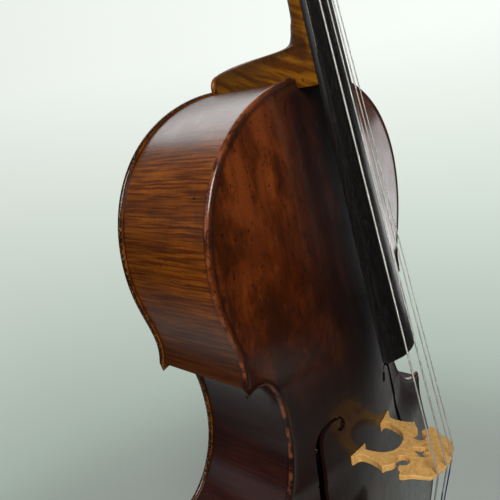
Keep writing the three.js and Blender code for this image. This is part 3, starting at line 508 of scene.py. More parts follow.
class Paint(Nodes):
    """A material written as calls. Coordinates are the object's own, in metres.
    Colours are laid over one another, and self.colour is what the calls so far have made."""

    def __init__(self, name, colour, **surface):
        self.material = bpy.data.materials.new(name)
        self.material.use_nodes = True
        super().__init__(self.material.node_tree)
        self.shader = self.tree.nodes["Principled BSDF"]
        for key, value in surface.items():
            self.shader.inputs[key.replace("_", " ")].default_value = value
        self.place = self.node("ShaderNodeTexCoord").outputs["Object"]
        self.colour = colour

    def attribute(self, name):
        return self.node("ShaderNodeAttribute", attribute_name=name).outputs["Fac"]

    def axis(self, letter):
        parts = self.node("ShaderNodeSeparateXYZ")
        self.feed(parts.inputs[0], self.place)
        return parts.outputs[letter]

    def noise(self, scale, detail=3.0, turn=(0, 0, 0), rough=0.55, place=None):
        """Noise from 0 to 1 with these many features per metre along x, y and z."""
        mapping = self.node("ShaderNodeMapping")
        self.feed(mapping.inputs["Vector"], place or self.place)
        mapping.inputs["Rotation"].default_value = [math.radians(a) for a in turn]
        mapping.inputs["Scale"].default_value = scale
        made = self.node("ShaderNodeTexNoise")
        self.feed(made.inputs["Vector"], mapping.outputs[0])
        for key, value in (("Scale", 1), ("Detail", detail), ("Roughness", rough)):
            made.inputs[key].default_value = value
        return made.outputs["Fac"]

    def math(self, operation, a, b=0.0):
        made = self.node("ShaderNodeMath", operation=operation)
        self.feed(made.inputs[0], a)
        self.feed(made.inputs[1], b)
        return made.outputs[0]

    def times(self, a, b):
        return self.math("MULTIPLY", a, b)

    def plus(self, a, b):
        return self.math("ADD", a, b)

    def rise(self, value, start, end, low=0.0, high=1.0):
        """low before start and high after end, smooth in between."""
        made = self.node("ShaderNodeMapRange", interpolation_type="SMOOTHSTEP")
        for socket, number in zip(made.inputs, (value, start, end, low, high)):
            self.feed(socket, number)
        return made.outputs[0]

    def band(self, value, start, end, soft):
        """1 between start and end."""
        up = self.rise(value, start - soft, start + soft)
        return self.times(up, self.rise(value, end - soft, end + soft, 1, 0))

    def cover(self, tint, share, strength=1):
        """Lays the tint over the colour so far, as much as share says."""
        if strength != 1:
            share = self.times(share, strength)
        self.colour = self.mix(share, self.colour, tint)

    def spots(self, tint, value, start, end, strength=1):
        """Lays the tint where the value is past end, with soft borders from start."""
        self.cover(tint, self.rise(value, start, end), strength)

    def vector(self, x, y, z):
        made = self.node("ShaderNodeCombineXYZ")
        for socket, value in zip(made.inputs, (x, y, z)):
            self.feed(socket, value)
        return made.outputs[0]

    def done(self, roughness=None, height=None, depth=0.0002):
        """Connects the layers and gives the material. depth is the relief's size in metres."""
        self.feed(self.shader.inputs["Base Color"], self.colour)
        if roughness is not None:
            self.feed(self.shader.inputs["Roughness"], roughness)
        if height is not None:
            bump = self.node("ShaderNodeBump")
            bump.inputs["Distance"].default_value = depth
            self.feed(bump.inputs["Height"], height)
            self.feed(self.shader.inputs["Normal"], bump.outputs[0])
        return self.material


# ---------------- materials
NEAR_BLACK = (0.008, 0.004, 0.003)
# the colour of the belly's painted shade, over its real rosin
ROSIN_AND_SHADE = (0.012, 0.006, 0.006)
DARK_RED = (0.026, 0.006, 0.003)
RED_BROWN = (0.075, 0.013, 0.003)
ORANGE = (0.26, 0.054, 0.007)
WORN_RED = (0.3, 0.085, 0.03)
AMBER = (0.5, 0.14, 0.004)
TAWNY = (0.12, 0.024, 0.002)
UMBER = (0.04, 0.009, 0.002)
PURFLING = ((4.0, 4.5), (5.15, 5.65))  # the two dark strips, in millimetres from the edge


def varnish_wear(paint, seed):
    """The purfling, and the rubbed and chipped varnish along a plate's edge."""
    edge = paint.attribute("edge")
    ragged = paint.rise(paint.noise((90, 90, 90), 4, turn=(seed, 0, 0)), 0.42, 0.6)
    paint.cover(WORN_RED, paint.times(paint.rise(edge, 2.2, 0.8), ragged), 0.75)
    chips = paint.rise(paint.noise((620, 620, 420), turn=(0, seed, 0)), 0.6, 0.66)
    chipped = paint.times(paint.rise(edge, 3.6, 2.2), chips)
    paint.cover(NEAR_BLACK, chipped, 0.85)
    paint.cover(DARK_RED, paint.band(edge, 3.6, 7.5, 1.2), 0.45)
    for start, end in PURFLING:
        paint.cover(NEAR_BLACK, paint.band(edge, start, end, 0.12), 0.9)
    return edge, chipped


def belly_varnish():
    paint = Paint("belly_varnish", RED_BROWN, Coat_Weight=0.8, Coat_Roughness=0.15, Specular_IOR_Level=0.1)
    height = paint.axis("Z")
    paint.spots(ORANGE, paint.noise((11, 11, 8), 4, turn=(0, 8, 0), rough=0.6), 0.46, 0.74)
    broad = paint.noise((30, 20, 7), 4, turn=(0, 5, 0), rough=0.62)
    paint.spots(DARK_RED, broad, 0.42, 0.62, 0.85)
    paint.spots(DARK_RED, paint.noise((260, 60, 34), 4, turn=(0, 3, 0), rough=0.65), 0.48, 0.74, 0.6)
    grain = paint.noise((1250, 90, 9), 2)
    paint.spots(UMBER, grain, 0.42, 0.66, 0.3)
    paint.spots(ORANGE, paint.noise((160, 60, 50)), 0.58, 0.72, 0.35)
    # Painted light: the varnish is made lighter and redder in patches towards the top, where the upper bout is
    # lit.
    upper = paint.rise(height, TOP - 0.2, TOP - 0.05)
    paint.cover((0.3, 0.07, 0.016), paint.times(upper, paint.rise(broad, 0.6, 0.4, 0.2, 0.6)))
    paint.spots(UMBER, paint.noise((24, 24, 15), 5, turn=(0, 65, 0), rough=0.65), 0.46, 0.64, 0.8)
    paint.spots(NEAR_BLACK, paint.noise((420, 160, 200), 2, turn=(0, -14, 0)), 0.65, 0.7, 0.85)
    paint.spots(NEAR_BLACK, paint.noise((75, 75, 60), turn=(0, 25, 0), rough=0.7), 0.6, 0.7, 0.6)
    # Painted shade, over some real rosin and old polish: the middle, where the fingerboard's shadow and dark
    # reflection fall, and everything below the fingerboard's end, where the light falls off, are darkened.
    below = paint.rise(height, TOP - 0.17, TOP - 0.33)
    centre = paint.rise(paint.math("ABSOLUTE", paint.axis("X")), 0.092, 0.03)
    dark = paint.math("MAXIMUM", below, paint.times(centre, 0.93))
    uneven = paint.rise(paint.noise((14, 14, 8), turn=(0, 40, 0)), 0.3, 0.62, 0.8, 0.98)
    paint.cover(ROSIN_AND_SHADE, paint.times(dark, uneven))
    paint.spots(NEAR_BLACK, paint.noise((16, 16, 900), 1, turn=(0, 52, 0)), 0.745, 0.765, 0.5)
    edge, chipped = varnish_wear(paint, 17)
    roughness = paint.rise(paint.noise((60, 60, 40), 4), 0.3, 0.75, 0.3, 0.5)
    dents = paint.rise(paint.noise((150, 150, 90), 2), 0.66, 0.8, 0, -0.6)
    relief = paint.plus(paint.plus(paint.times(grain, 0.25), dents), paint.times(chipped, -0.5))
    grooves = paint.times(paint.band(edge, PURFLING[0][0], PURFLING[1][1], 0.15), -0.35)
    return paint.done(roughness, paint.plus(relief, grooves), 0.00035)


def flames(paint, along, scale, twist):
    """Maple's flames from 0 to 1: irregular stripes across the direction along."""
    wander = paint.noise((26, 26, 26))
    shifted = paint.plus(along, paint.times(wander, twist / scale))
    place = paint.vector(shifted, paint.axis("X"), paint.axis("Y"))
    return paint.rise(paint.noise((scale, 22, 22), 2.5, place=place, rough=0.5), 0.34, 0.66)


def rib_varnish(name, light, middle, dark, amber, haze):
    """Flamed maple under varnish. The flames run from the belly to the back."""
    paint = Paint(name, middle, Coat_Weight=1.0, Coat_Roughness=haze, Specular_IOR_Level=0.1)
    along = paint.times(paint.attribute("along"), MM)
    beside = paint.vector(0, paint.axis("Y"), along)
    stripe = flames(paint, along, 520, 2.2)
    broad = paint.noise((60, 0, 0), 2, place=paint.vector(along, 0, 0))
    paint.cover(light, paint.times(stripe, paint.rise(broad, 0.3, 0.6, 0.35, 0.8)))
    paint.spots(dark, paint.noise((11, 11, 11), 4, turn=(30, 0, 0)), 0.36, 0.6, 1 - amber)
    # Painted shade: the rib darkens away from the middle of its length towards both ends, where the light
    # falls off towards the corners.
    paint.spots(dark, paint.math("ABSOLUTE", paint.plus(along, -0.205)), 0.05, 0.13, 0.82)
    paint.spots(dark, paint.noise((0, 6, 900), place=beside, rough=0.6), 0.48, 0.68, 0.5)
    grain = paint.noise((0, 900, 40), place=beside)
    paint.spots(dark, grain, 0.45, 0.75, 0.3)
    paint.spots(NEAR_BLACK, paint.noise((90, 90, 300), 2, turn=(20, 0, 0)), 0.69, 0.73, 0.8)
    # Painted light: a lighter orange-brown band across the rib, between 0.372 and 0.43 m along it, for the lit
    # end by the corner.
    paint.cover((0.2, 0.05, 0.004), paint.band(along, 0.372, 0.43, 0.008), 0.7)
    # The rib darkens along both edges, where it meets the plates.
    rows = paint.attribute("across")
    rim = paint.math("MAXIMUM", paint.rise(rows, 4, 0.5), paint.rise(rows, 104, 107.5))
    paint.cover(NEAR_BLACK, rim, 0.9)
    roughness = paint.rise(paint.noise((70, 70, 70), 4), 0.3, 0.75, 0.24, 0.42)
    return paint.done(roughness, paint.plus(paint.times(stripe, 0.5), paint.times(grain, 0.2)), 0.0001)


def back_varnish():
    paint = Paint("back_varnish", TAWNY, Coat_Weight=0.8, Coat_Roughness=0.14, Specular_IOR_Level=0.1)
    # The two halves are bookmatched: the flames fall away from the middle joint.
    across = paint.math("ABSOLUTE", paint.axis("X"))
    stripe = flames(paint, paint.plus(paint.axis("Z"), paint.times(across, 0.32)), 105, 1.1)
    paint.cover((0.34, 0.095, 0.008), stripe)
    paint.spots((0.09, 0.02, 0.004), paint.noise((9, 9, 7), 4), 0.42, 0.62, 0.7)
    paint.spots(UMBER, paint.noise((800, 60, 14)), 0.5, 0.72, 0.35)
    paint.spots(NEAR_BLACK, across, 0.0006, 0.0002)
    paint.spots(NEAR_BLACK, paint.noise((120, 60, 120), 2), 0.68, 0.73, 0.7)
    edge, chipped = varnish_wear(paint, 61)
    # The back's edge is darkened nearly black, with lighter rubbed specks in it.
    blackened_edge = paint.rise(edge, 2.6, 1.2)
    paint.cover(NEAR_BLACK, blackened_edge, 0.92)
    rubbed = paint.rise(paint.noise((620, 620, 420)), 0.56, 0.63)
    paint.cover((0.4, 0.2, 0.08), paint.times(rubbed, blackened_edge), 0.6)
    roughness = paint.rise(paint.noise((60, 60, 50), 4), 0.3, 0.75, 0.2, 0.42)
    relief = paint.plus(paint.times(stripe, 0.3), paint.times(chipped, -0.6))
    return paint.done(roughness, relief)


def neck_maple():
    paint = Paint("neck_maple", (0.12, 0.034, 0.003), Coat_Weight=0.16, Coat_Roughness=0.22,
                  Specular_IOR_Level=0.1)
    height, depth = paint.axis("Z"), paint.axis("Y")
    stripe = flames(paint, paint.plus(height, paint.times(depth, -0.42)), 190, 1.3)
    paint.cover((0.36, 0.14, 0.006), stripe)
    paint.spots((0.22, 0.08, 0.016), paint.noise((60, 60, 700), turn=(-24, 0, 0)), 0.5, 0.72, 0.5)
    # Handling has darkened the root of the neck, the top of the heel and its sides.
    rear = paint.rise(depth, FRONT + 0.02, FRONT + 0.05)
    near = paint.times(rear, paint.rise(height, TOP - 0.004, TOP + 0.018, 0.45, 1))
    stain = paint.rise(paint.noise((40, 40, 30), 4), 0.42, 0.62)
    root = paint.band(height, TOP + 0.012, TOP + 0.036, 0.012)
    dirt = paint.math("MAXIMUM", paint.times(near, 0.8), paint.times(paint.times(root, stain), 0.9))
    paint.cover((0.055, 0.022, 0.007), dirt)
    paint.spots((0.04, 0.018, 0.009), paint.noise((260, 260, 120), 2), 0.67, 0.72, 0.75)
    roughness = paint.rise(paint.noise((80, 80, 80)), 0.3, 0.7, 0.28, 0.48)
    return paint.done(roughness, paint.times(stripe, 0.4), 0.00015)


def scroll_maple():
    paint = Paint("scroll_maple", (0.13, 0.038, 0.013), Coat_Weight=0.6, Coat_Roughness=0.16,
                  Specular_IOR_Level=0.15)
    stripe = flames(paint, paint.axis("Z"), 115, 1.0)
    paint.cover((0.33, 0.12, 0.028), stripe)
    paint.spots((0.055, 0.017, 0.009), paint.noise((34, 34, 34), 4), 0.45, 0.65, 0.7)
    pores = paint.noise((500, 500, 60), 2)
    paint.spots(NEAR_BLACK, pores, 0.6, 0.7, 0.6)
    roughness = paint.rise(paint.noise((90, 90, 90)), 0.3, 0.7, 0.26, 0.46)
    return paint.done(roughness, paint.plus(stripe, paint.times(pores, -0.5)), 0.00012)


def ebony(name, light, roughness):
    paint = Paint(name, (0.0075, 0.0068, 0.0066), Specular_IOR_Level=0.45)
    grain = paint.noise((700, 700, 16), 4)
    paint.spots(light, grain, 0.45, 0.75)
    wear = paint.rise(paint.noise((80, 80, 12), 4), 0.35, 0.7, *roughness)
    return paint.done(wear, grain, 0.00006)


def bridge_maple():
    paint = Paint("bridge_maple", (0.92, 0.54, 0.17), Specular_IOR_Level=0.35)
    flecks = paint.noise((420, 160, 60))
    paint.spots((0.76, 0.4, 0.11), flecks, 0.42, 0.66)
    paint.spots((0.34, 0.15, 0.045), paint.noise((130, 900, 130), 2), 0.58, 0.68, 0.45)
    cloud = paint.noise((45, 45, 45))
    paint.spots((0.42, 0.19, 0.06), cloud, 0.5, 0.7, 0.35)
    return paint.done(paint.rise(cloud, 0.3, 0.7, 0.42, 0.58), flecks, 0.0001)


def wound_string(name, silk):
    """Flat-wound metal, with a silk wrapping on both ends."""
    paint = Paint(name, (0.88, 0.87, 0.82))
    along = paint.attribute("along")

    def turns(pitch):
        return paint.math("SINE", paint.times(along, 2 * math.pi / pitch))

    wrapped = paint.math("MAXIMUM", paint.rise(along, 52, 50), paint.rise(along, 822, 824))
    paint.spots((0.7, 0.68, 0.62), paint.noise((160, 160, 60)), 0.35, 0.7)
    twill = paint.mix(paint.rise(turns(0.9), -0.6, 0.6), silk, tuple(0.45 * c for c in silk))
    paint.cover(twill, wrapped)
    paint.feed(paint.shader.inputs["Metallic"], paint.rise(wrapped, 0.2, 0.8, 0.85, 0.0))
    return paint.done(paint.rise(wrapped, 0.2, 0.8, 0.36, 0.75), turns(0.55), 0.00004)


def grained(name, colour, tint, borders, scale, detail, depth, sheen=None, **surface):
    """A material whose colour, sheen and relief all follow one grain.
    The grain turns from colour to tint between the borders, and sheen holds what Paint.rise asks for."""
    paint = Paint(name, colour, **surface)
    grain = paint.noise(scale, detail)
    paint.spots(tint, grain, *borders)
    return paint.done(sheen and paint.rise(grain, *sheen), grain, depth)


def tail_cord():
    paint = Paint("tail_cord", (0.03, 0.027, 0.025), Roughness=0.5)
    weave = paint.math("SINE", paint.times(paint.attribute("along"), 2 * math.pi / 1.1))
    paint.spots((0.075, 0.068, 0.06), weave, -0.5, 0.6)
    return paint.done(None, weave, 0.0001)


def inner_wood(name, colour, tint):
    return grained(name, colour, tint, (0.35, 0.7), (420, 420, 10), 3, 0.0001, Roughness=0.72)


BELLY_VARNISH = belly_varnish()
BACK_VARNISH = back_varnish()
RIB_VARNISH = rib_varnish("rib_varnish", AMBER, TAWNY, UMBER, 0.55, 0.3)
# Painted shade: the waist ribs get a much darker copy of the rib varnish, for the shade they stand in.
SHADED_WAIST_VARNISH = rib_varnish("waist_varnish", (0.06, 0.013, 0.007), (0.028, 0.007, 0.005),
                            (0.013, 0.004, 0.004), 0.5, 0.15)
NECK_MAPLE = neck_maple()
SCROLL_MAPLE = scroll_maple()
BOARD_EBONY = ebony("board_ebony", (0.021, 0.019, 0.019), (0.2, 0.36))
EBONY = ebony("ebony", (0.035, 0.024, 0.018), (0.22, 0.42))
BRIDGE_MAPLE = bridge_maple()
INNER_WOOD = inner_wood("inner_wood", (0.6, 0.42, 0.22), (0.42, 0.26, 0.12))
CORNER_WOOD = inner_wood("corner_wood", (0.05, 0.014, 0.006), (0.018, 0.006, 0.004))
STEEL = grained("steel", (0.72, 0.72, 0.73), (0.5184, 0.5184, 0.5256), (0.35, 0.7), (500, 500, 12), 3,
                0.00003, (0.3, 0.7, 0.195, 0.338), Metallic=1.0)
BRASS = grained("tuner_metal", (0.78, 0.56, 0.24), (0.42, 0.27, 0.1), (0.4, 0.7), (420, 420, 420), 3, 0.00003,
                (0.35, 0.7, 0.22, 0.42), Metallic=1.0)
RUBBER = grained("rubber", (0.018, 0.018, 0.018), (0.07, 0.068, 0.064), (0.45, 0.75), (260, 260, 260), 4,
                 0.00012, Roughness=0.78, Specular_IOR_Level=0.3)
TAIL_CORD = tail_cord()


# ---------------- plates
F_STATIONS = [  # the slot's middle line on the treble side, x and z, and its width
    (46.5, -347, 2.4), (52, -341.5, 3), (63, -341, 4.6), (75, -348, 7.4), (81.5, -362, 9.6), (84.5, -390, 11),
    (86.5, -412, 11), (89.5, -440, 9.6), (95.5, -463, 7), (104.5, -477, 4.6), (113, -477, 2.6),
]
F_EYES = [(50.5, -351.5, 6), (109.5, -469, 7.5)]
F_NICKS = [(80, -404, -2.4), (91.5, -402, 2.4)]  # x and z of a nick's mouth, and its depth
PLATE_RINGS = (0.25, 0.8, 1.6, 2.6, 3.3, 4.1, 4.8, 5.4, 6.4, 8.0, 10.5, 13.5)
SADDLE_HALF, SADDLE_DEPTH = 19, 8
NECK_NOTCH_HALF, NECK_NOTCH_DEPTH = 21.5, 12.2


def ribbon(stations, per_span):
    """The outline of a band that follows the stations' middle line at their widths."""
    path = spline(stations, per_span)
    across = normals_2d(path[:, :2], closed=False) * path[:, 2:] / 2
    return np.vstack([path[:, :2] + across, (path[:, :2] - across)[::-1]])


def circle(x, z, radius):
    angle = around(28)
    return np.column_stack([x + radius * np.cos(angle), z + radius * np.sin(angle)])


def sound_hole(side):
    loops = [ribbon(F_STATIONS, 6), *(circle(*eye) for eye in F_EYES)]
    for x, z, reach in F_NICKS:
        loops.append(np.array([[x - reach, z - 2.2], [x + reach, z], [x - reach, z + 2.2]]))
    return [loop if side > 0 else mirrored(loop) for loop in loops]


def plate(name, outline, holes, crown, base, outward, material):
    """An arched plate: base is the y of its outer edge surface and outward the sign of its arch."""

    def surfaces(points, distance):
        arch = arch_height(points[:, 0], points[:, 1], crown)
        drop = quarter_drop(distance, EDGE / 2)
        swell = 0.9 * (distance / 3) ** 2 * np.exp(1 - (distance / 3) ** 2)
        outer = base + outward * (arch + swell - drop)
        inner = base + outward * (arch * ease(distance, 6, 16) - EDGE + drop)
        return (np.column_stack([points[:, 0], y, points[:, 1]]) for y in (outer, inner))

    vertices, faces, flat = sheet(outline, True, holes, PLATE_RINGS, 5.0, surfaces)
    edge = distance_to(flat, OUTLINE)
    edge[~inside(flat, OUTLINE) & (edge > 0.02)] = 9  # the button's own face has no purfling
    piece(name + "_plate", vertices, faces, material, name, name + "_varnish", values={"edge": edge})


def notch(half, first, last):
    """A square hole across the middle, from one height to the other."""
    return np.array([[-half, first], [half, first], [half, last], [-half, last]], float)


saddle_top = SADDLE_DEPTH - BODY_LENGTH
belly_holes = [notch(NECK_NOTCH_HALF, 5, -NECK_NOTCH_DEPTH), notch(SADDLE_HALF, saddle_top - 20, saddle_top),
               *sound_hole(1), *sound_hole(-1)]
plate("belly", OUTLINE, belly_holes, BELLY_ARCH, 0, -1, BELLY_VARNISH)

BUTTON_RADIUS, BUTTON_Z = 13, 3
button_angle = np.linspace(math.pi + 0.2, -0.2, 24)
button = BUTTON_RADIUS * np.column_stack([np.cos(button_angle), np.sin(button_angle)]) + [0, BUTTON_Z]
under_button = (np.abs(OUTLINE[:, 0]) < BUTTON_RADIUS + 0.5) & (OUTLINE[:, 1] > -20)
back_outline = np.vstack([OUTLINE[~under_button], button])
plate("back", back_outline, [], BACK_ARCH, DEPTH, 1, BACK_VARNISH)


# ---------------- ribs
def trimmed(curve, start, end):
    run = arc_lengths(curve)
    return curve[(run >= start) & (run <= run[-1] - end)]


HEEL_HALF = 13.6
PLUG_BORE = 12.6
RIB_ROWS = [EDGE, EDGE + 1.2, 12, 24, 40, 56, 72, 88, 100, DEPTH - 12, DEPTH - EDGE - 1.2, DEPTH - EDGE]


def rib(name, curve, material, *tools):
    """A bent strip that bulges a little between the linings, less the tools."""
    out = -normals_2d(curve, closed=False)
    outer, inner = curve + out * OVERHANG, curve + out * (OVERHANG + RIB)
    rows = np.array(RIB_ROWS)
    bulge = 0.35 * np.sin(np.pi * (rows - EDGE) / (DEPTH - 2 * EDGE)) ** 0.7
    for side_name, side in (("bass", -1), ("treble", 1)):
        rings = []
        for place, behind, way in zip(outer, inner, out):
            face = [[place[0] - way[0] * b, y, place[1] - way[1] * b] for y, b in zip(rows, bulge)]
            back = [[behind[0], y, behind[1]] for y in rows[::-1]]
            rings.append(np.array(face + back) * [side, 1, 1])
        shape = loft(rings)
        vertices, faces = carved(shape, *tools) if tools else shape
        along = run_along(vertices[:, [0, 2]] * [side, 1], outer)
        values = {"along": along, "across": vertices[:, 1] - EDGE}
        piece(f"{name}_{side_name}_bent", vertices, faces, material, f"{name}_{side_name}", "rib_varnish",
              values=values, sharp=50)


rib("rib_upper", trimmed(UPPER_CURVE, HEEL_HALF, 0), RIB_VARNISH)
rib("rib_waist", trimmed(WAIST_CURVE, 4, 4), SHADED_WAIST_VARNISH)
plug_hole = lathe([(PLUG_BORE, -BODY_LENGTH - 20), (PLUG_BORE, 20 - BODY_LENGTH)], 40, (0, DEPTH / 2, 0))
rib("rib_lower", LOWER_CURVE, RIB_VARNISH, plug_hole)


# ---------------- neck, fingerboard and nut
def board_under(z):
    return -OVERSTAND + BOARD_SLOPE * z


def board_half(z):
    return np.interp(z, [BOARD_END, NUT_Z], [BOARD_HALF_END, BOARD_HALF_NUT])


def arc_rise(x, half):
    """How far the fingerboard's round rises above its edges."""
    across = np.minimum(np.abs(x), half)
    return np.sqrt(BOARD_RADIUS**2 - across**2) - math.sqrt(BOARD_RADIUS**2 - half**2)


NECK_STATIONS = [  # height, rear of the section, its half width there, and how square it is
    (-11.6, 112.3, 13, 9), (0, 112.3, 13, 9), (11, 112.3, 12.5, 7), (15.5, 111, 12, 5), (18, 101, 12.5, 4.5),
    (20.3, 86, 13.5, 4), (22, 65, 15.5, 3.6), (23.2, 40, 18.5, 3.2), (24.6, 21, 21, 2.9), (27, 13, 21.5, 2.6),
    (32, 9.9, 21.5, 2.4), (42, 8.3, 21, 2.3), (60, 7.4, 21, 2.2), (150, 19.1, 18.7, 2.2),
    (245, 32.5, 16.1, 2.2), (262, 35.8, 16, 2.3), (274, 41, 16.8, 2.5), (283, 48.5, 18.4, 2.8),
    (290, 58, 21, 3.2),
]


def neck():
    stations = spline(NECK_STATIONS, 6)
    stations = stations[np.r_[True, np.diff(stations[:, 0]) > 0.05]]
    angle = np.linspace(0, math.pi, 49)
    rings = []
    for z, rear, half, square in stations:
        front = board_under(z)
        front_half = max(board_half(z) - 0.5, half if z > NUT_Z - 10 else 0)
        back = np.sin(angle) ** (2 / square)
        side = np.sign(np.cos(angle)) * np.abs(np.cos(angle)) ** (2 / square)
        x = side * (front_half + (half - front_half) * back)
        rings.append(level(x, front + (rear - front) * back, z))
    vertices, faces = loft(rings)
    piece("neck_carved", vertices, faces, NECK_MAPLE, "neck", "neck_maple", sharp=50)


neck()

BOARD_ROUND = 0.7  # softened long edges
FLAT_FROM = 6.5  # the facet under the lowest string starts here, from the middle towards the bass side


def board_top(x, z):
    """The fingerboard's rounded face, with a flat facet under the C string."""
    half = board_half(z)
    rise = arc_rise(x, half)
    start = FLAT_FROM * half / BOARD_HALF_NUT
    t = np.clip((-x - start) / (half - start), 0, 1)
    flat = arc_rise(start, half) * (1 - t)
    rise = np.where(-x > start, flat, rise)
    worn = 0.25 * np.exp(-(((np.abs(x) - 0.45 * half) / (0.1 * half)) ** 2)) * ease(z, 20, 200)
    return board_under(z) - BOARD_EDGE - rise + worn


def fingerboard():
    tail = BOARD_END + np.array([1, 0.4, 0])
    stations = np.r_[NUT_Z, NUT_Z - 0.6, np.arange(270, BOARD_END + 6, -10), tail]
    shrink = np.zeros(len(stations))
    shrink[[0, -1]], shrink[[-2]] = 0.5, 0.15
    rings = []
    for z, tuck in zip(stations, shrink):
        half = board_half(z) - tuck
        across = np.r_[np.linspace(1, 0.96, 4), np.linspace(0.9, -0.9, 37), np.linspace(-0.96, -1, 4)] * half
        top = board_top(across, z) + tuck + quarter_drop(half - np.abs(across), BOARD_ROUND)
        under_x = np.array([-1, -0.92, -0.84, -0.6, -0.3, 0, 0.3, 0.6, 0.84, 0.92, 1]) * half
        hollow = 6 * ease(-z, 24, 60) * np.clip(1 - (under_x / (0.84 * half)) ** 2, 0, 1)
        under = board_under(z) - GLUE_GAP - hollow - tuck * 0.5
        rings.append(level(np.r_[across, under_x], np.r_[top, under], z))
    vertices, faces = loft(rings)
    piece("fingerboard_shaped", vertices, faces, BOARD_EBONY, "fingerboard", "ebony", sharp=32)


fingerboard()

# side is that of the string's peg, and peg counts the pegs from the nut.
String = namedtuple("String", "name radius nut_x bridge_x tail_x winding_x side peg")
STRINGS = [
    String("c", 0.95, -11, -23.1, -16.5, -7.5, -1, 0),
    String("g", 0.78, -3.7, -7.5, -5.5, -3.8, -1, 2),
    String("d", 0.62, 3.7, 7.5, 5.5, 3.8, 1, 3),
    String("a", 0.52, 11, 23.1, 16.5, 7.5, 1, 1),
]


def nut():
    half = BOARD_HALF_NUT
    low, high = NUT_Z + GLUE_GAP, NUT_Z + NUT_LENGTH - GLUE_GAP
    rings = []
    for z in np.r_[low, low + 0.4, np.linspace(low + 1, high - 0.4, 12), high]:
        crown = 1.2 - 4.6 * ease(z, low + 2.5, high + 1.5) - 0.4 * (z in (low, high))
        x = np.linspace(half, -half, 81)
        top = board_under(NUT_Z) - BOARD_EDGE - arc_rise(x, half) - crown
        top += quarter_drop(half - np.abs(x), 1.2)
        for string in STRINGS if crown > 0 else ():
            groove = np.clip(1 - np.abs(x - string.nut_x) / (string.radius + 0.35), 0, 1) ** 0.6
            top += (string.radius + 0.7) * groove
        seat = board_under(z) - GLUE_GAP
        rings.append(level(np.r_[x, -half, half], np.r_[top, seat, seat], z))
    vertices, faces = loft(rings)
    piece("nut_filed", vertices, faces, EBONY, "nut", "ebony")


nut()


# ---------------- bridge
BRIDGE_LEG = [  # from the arch's crown down the leg and up the outside: x and height over the feet
    (0, 38.5), (8, 37.5), (15, 34), (20.5, 28), (24, 20), (26, 12), (25.5, 7), (19, 3.2), (19, 0), (45, 0),
    (45, 3.5), (38, 7.5), (35.5, 13), (36.5, 24), (39.5, 33), (42.5, 36.5), (38.5, 38.5), (34.5, 42.5),
    (30, 45), (26.5, 44.5), (22.5, 43.2), (17.5, 45), (15, 49.5), (16.5, 54.5), (21, 57.2), (26, 56),
    (28.5, 52), (30.5, 49.5), (35, 50.5), (38.5, 54), (43, 55), (42.5, 59), (38, 65), (34.5, 73), (32, 81),
]
BRIDGE_HEART = [(0, 50.5), (3, 53), (4.5, 59), (7.5, 62.5), (6.5, 66), (3.5, 66.5), (1.6, 63.5), (0, 67.5)]
FOOT_CORNERS = (7, 8, 9, 10)  # points of the leg where the outline turns sharply
FOOT_Y = -arch_height(BRIDGE_FOOT_HALF, BRIDGE_Z, BELLY_ARCH) + 1.5


def bridge_outline():
    leg = np.array(BRIDGE_LEG, float)
    parts = [spline(leg[: FOOT_CORNERS[0] + 1], 5)[:-1]]
    parts += [leg[FOOT_CORNERS[0] : FOOT_CORNERS[-1]]]
    parts += [spline(leg[FOOT_CORNERS[-1] :], 5)]
    half = np.vstack(parts)
    x = np.linspace(31, 0, 24)[:-1]
    crown = np.column_stack([x, STRING_TOP + FOOT_Y - x**2 / (2 * BOARD_RADIUS) - 0.4])
    right = np.vstack([half, crown])
    top = [[0, STRING_TOP + FOOT_Y - 0.4]]
    return np.vstack([right, top, mirrored(right[1:])[::-1]])


def bridge():
    outline = evenly(bridge_outline(), 0.9)[:-1]
    heart_half = spline(BRIDGE_HEART, 4)
    heart = np.vstack([heart_half, mirrored(heart_half[1:-1])[::-1]])
    chamfer = 0.75

    def surfaces(points, distance):
        x, height = points.T
        edge = np.minimum(distance, distance_to(points, heart))
        half = np.interp(height, [0, 4, 12, 60, 92], [5.5, 5.4, 4.9, 3.0, 1.4])
        half = half - chamfer * np.clip(1 - edge / chamfer, 0, 1) * (height > 3)
        foot = -arch_height(x, BRIDGE_Z, BELLY_ARCH) - GLUE_GAP - FOOT_Y
        sunk = np.where(height < 6, height - foot * (1 - height / 6), height)
        y = FOOT_Y - sunk
        return (np.column_stack([x, y, BRIDGE_Z + sign * half]) for sign in (1, -1))

    vertices, faces, _ = sheet(outline, False, [heart], (0.75, 1.6), 2.4, surfaces)
    piece("bridge_carved", vertices, faces, BRIDGE_MAPLE, "bridge", "bridge_maple", sharp=28)


bridge()


# ---------------- strings
PEG_AXES = [(42, 318), (47, 343), (57, 373), (64, 393)]  # y and z, from the nut
PEG_TIP, PEG_COLLAR = -24, 31  # along the peg, from the pegbox's middle towards its head
TAIL_TOP, TAIL_END = (-78, -516), (-16, -738)  # y and z of the tailpiece's ends
TAIL_LENGTH = math.dist(TAIL_TOP, TAIL_END)
TAIL_TILT = math.atan2(TAIL_END[0] - TAIL_TOP[0], TAIL_TOP[1] - TAIL_END[1])
TAIL_RIDGE = 1.8  # about how far the ridge under the strings stands above the tailpiece's face
SCREW_Z = -56  # of the fine tuners' screws, along the tailpiece


def tail_surface(x):
    return -9 + x**2 / 110


def from_tail(points):
    """From the tailpiece's own frame, z up along it and y inwards, to body millimetres."""
    x, y, z = np.asarray(points, float).T
    c, s = math.cos(TAIL_TILT), math.sin(TAIL_TILT)
    return np.column_stack([x, y * c - z * s + TAIL_TOP[0], y * s + z * c + TAIL_TOP[1]])


def peg_radius(along):
    return np.interp(along, [PEG_TIP, PEG_COLLAR], [5.2, 7])


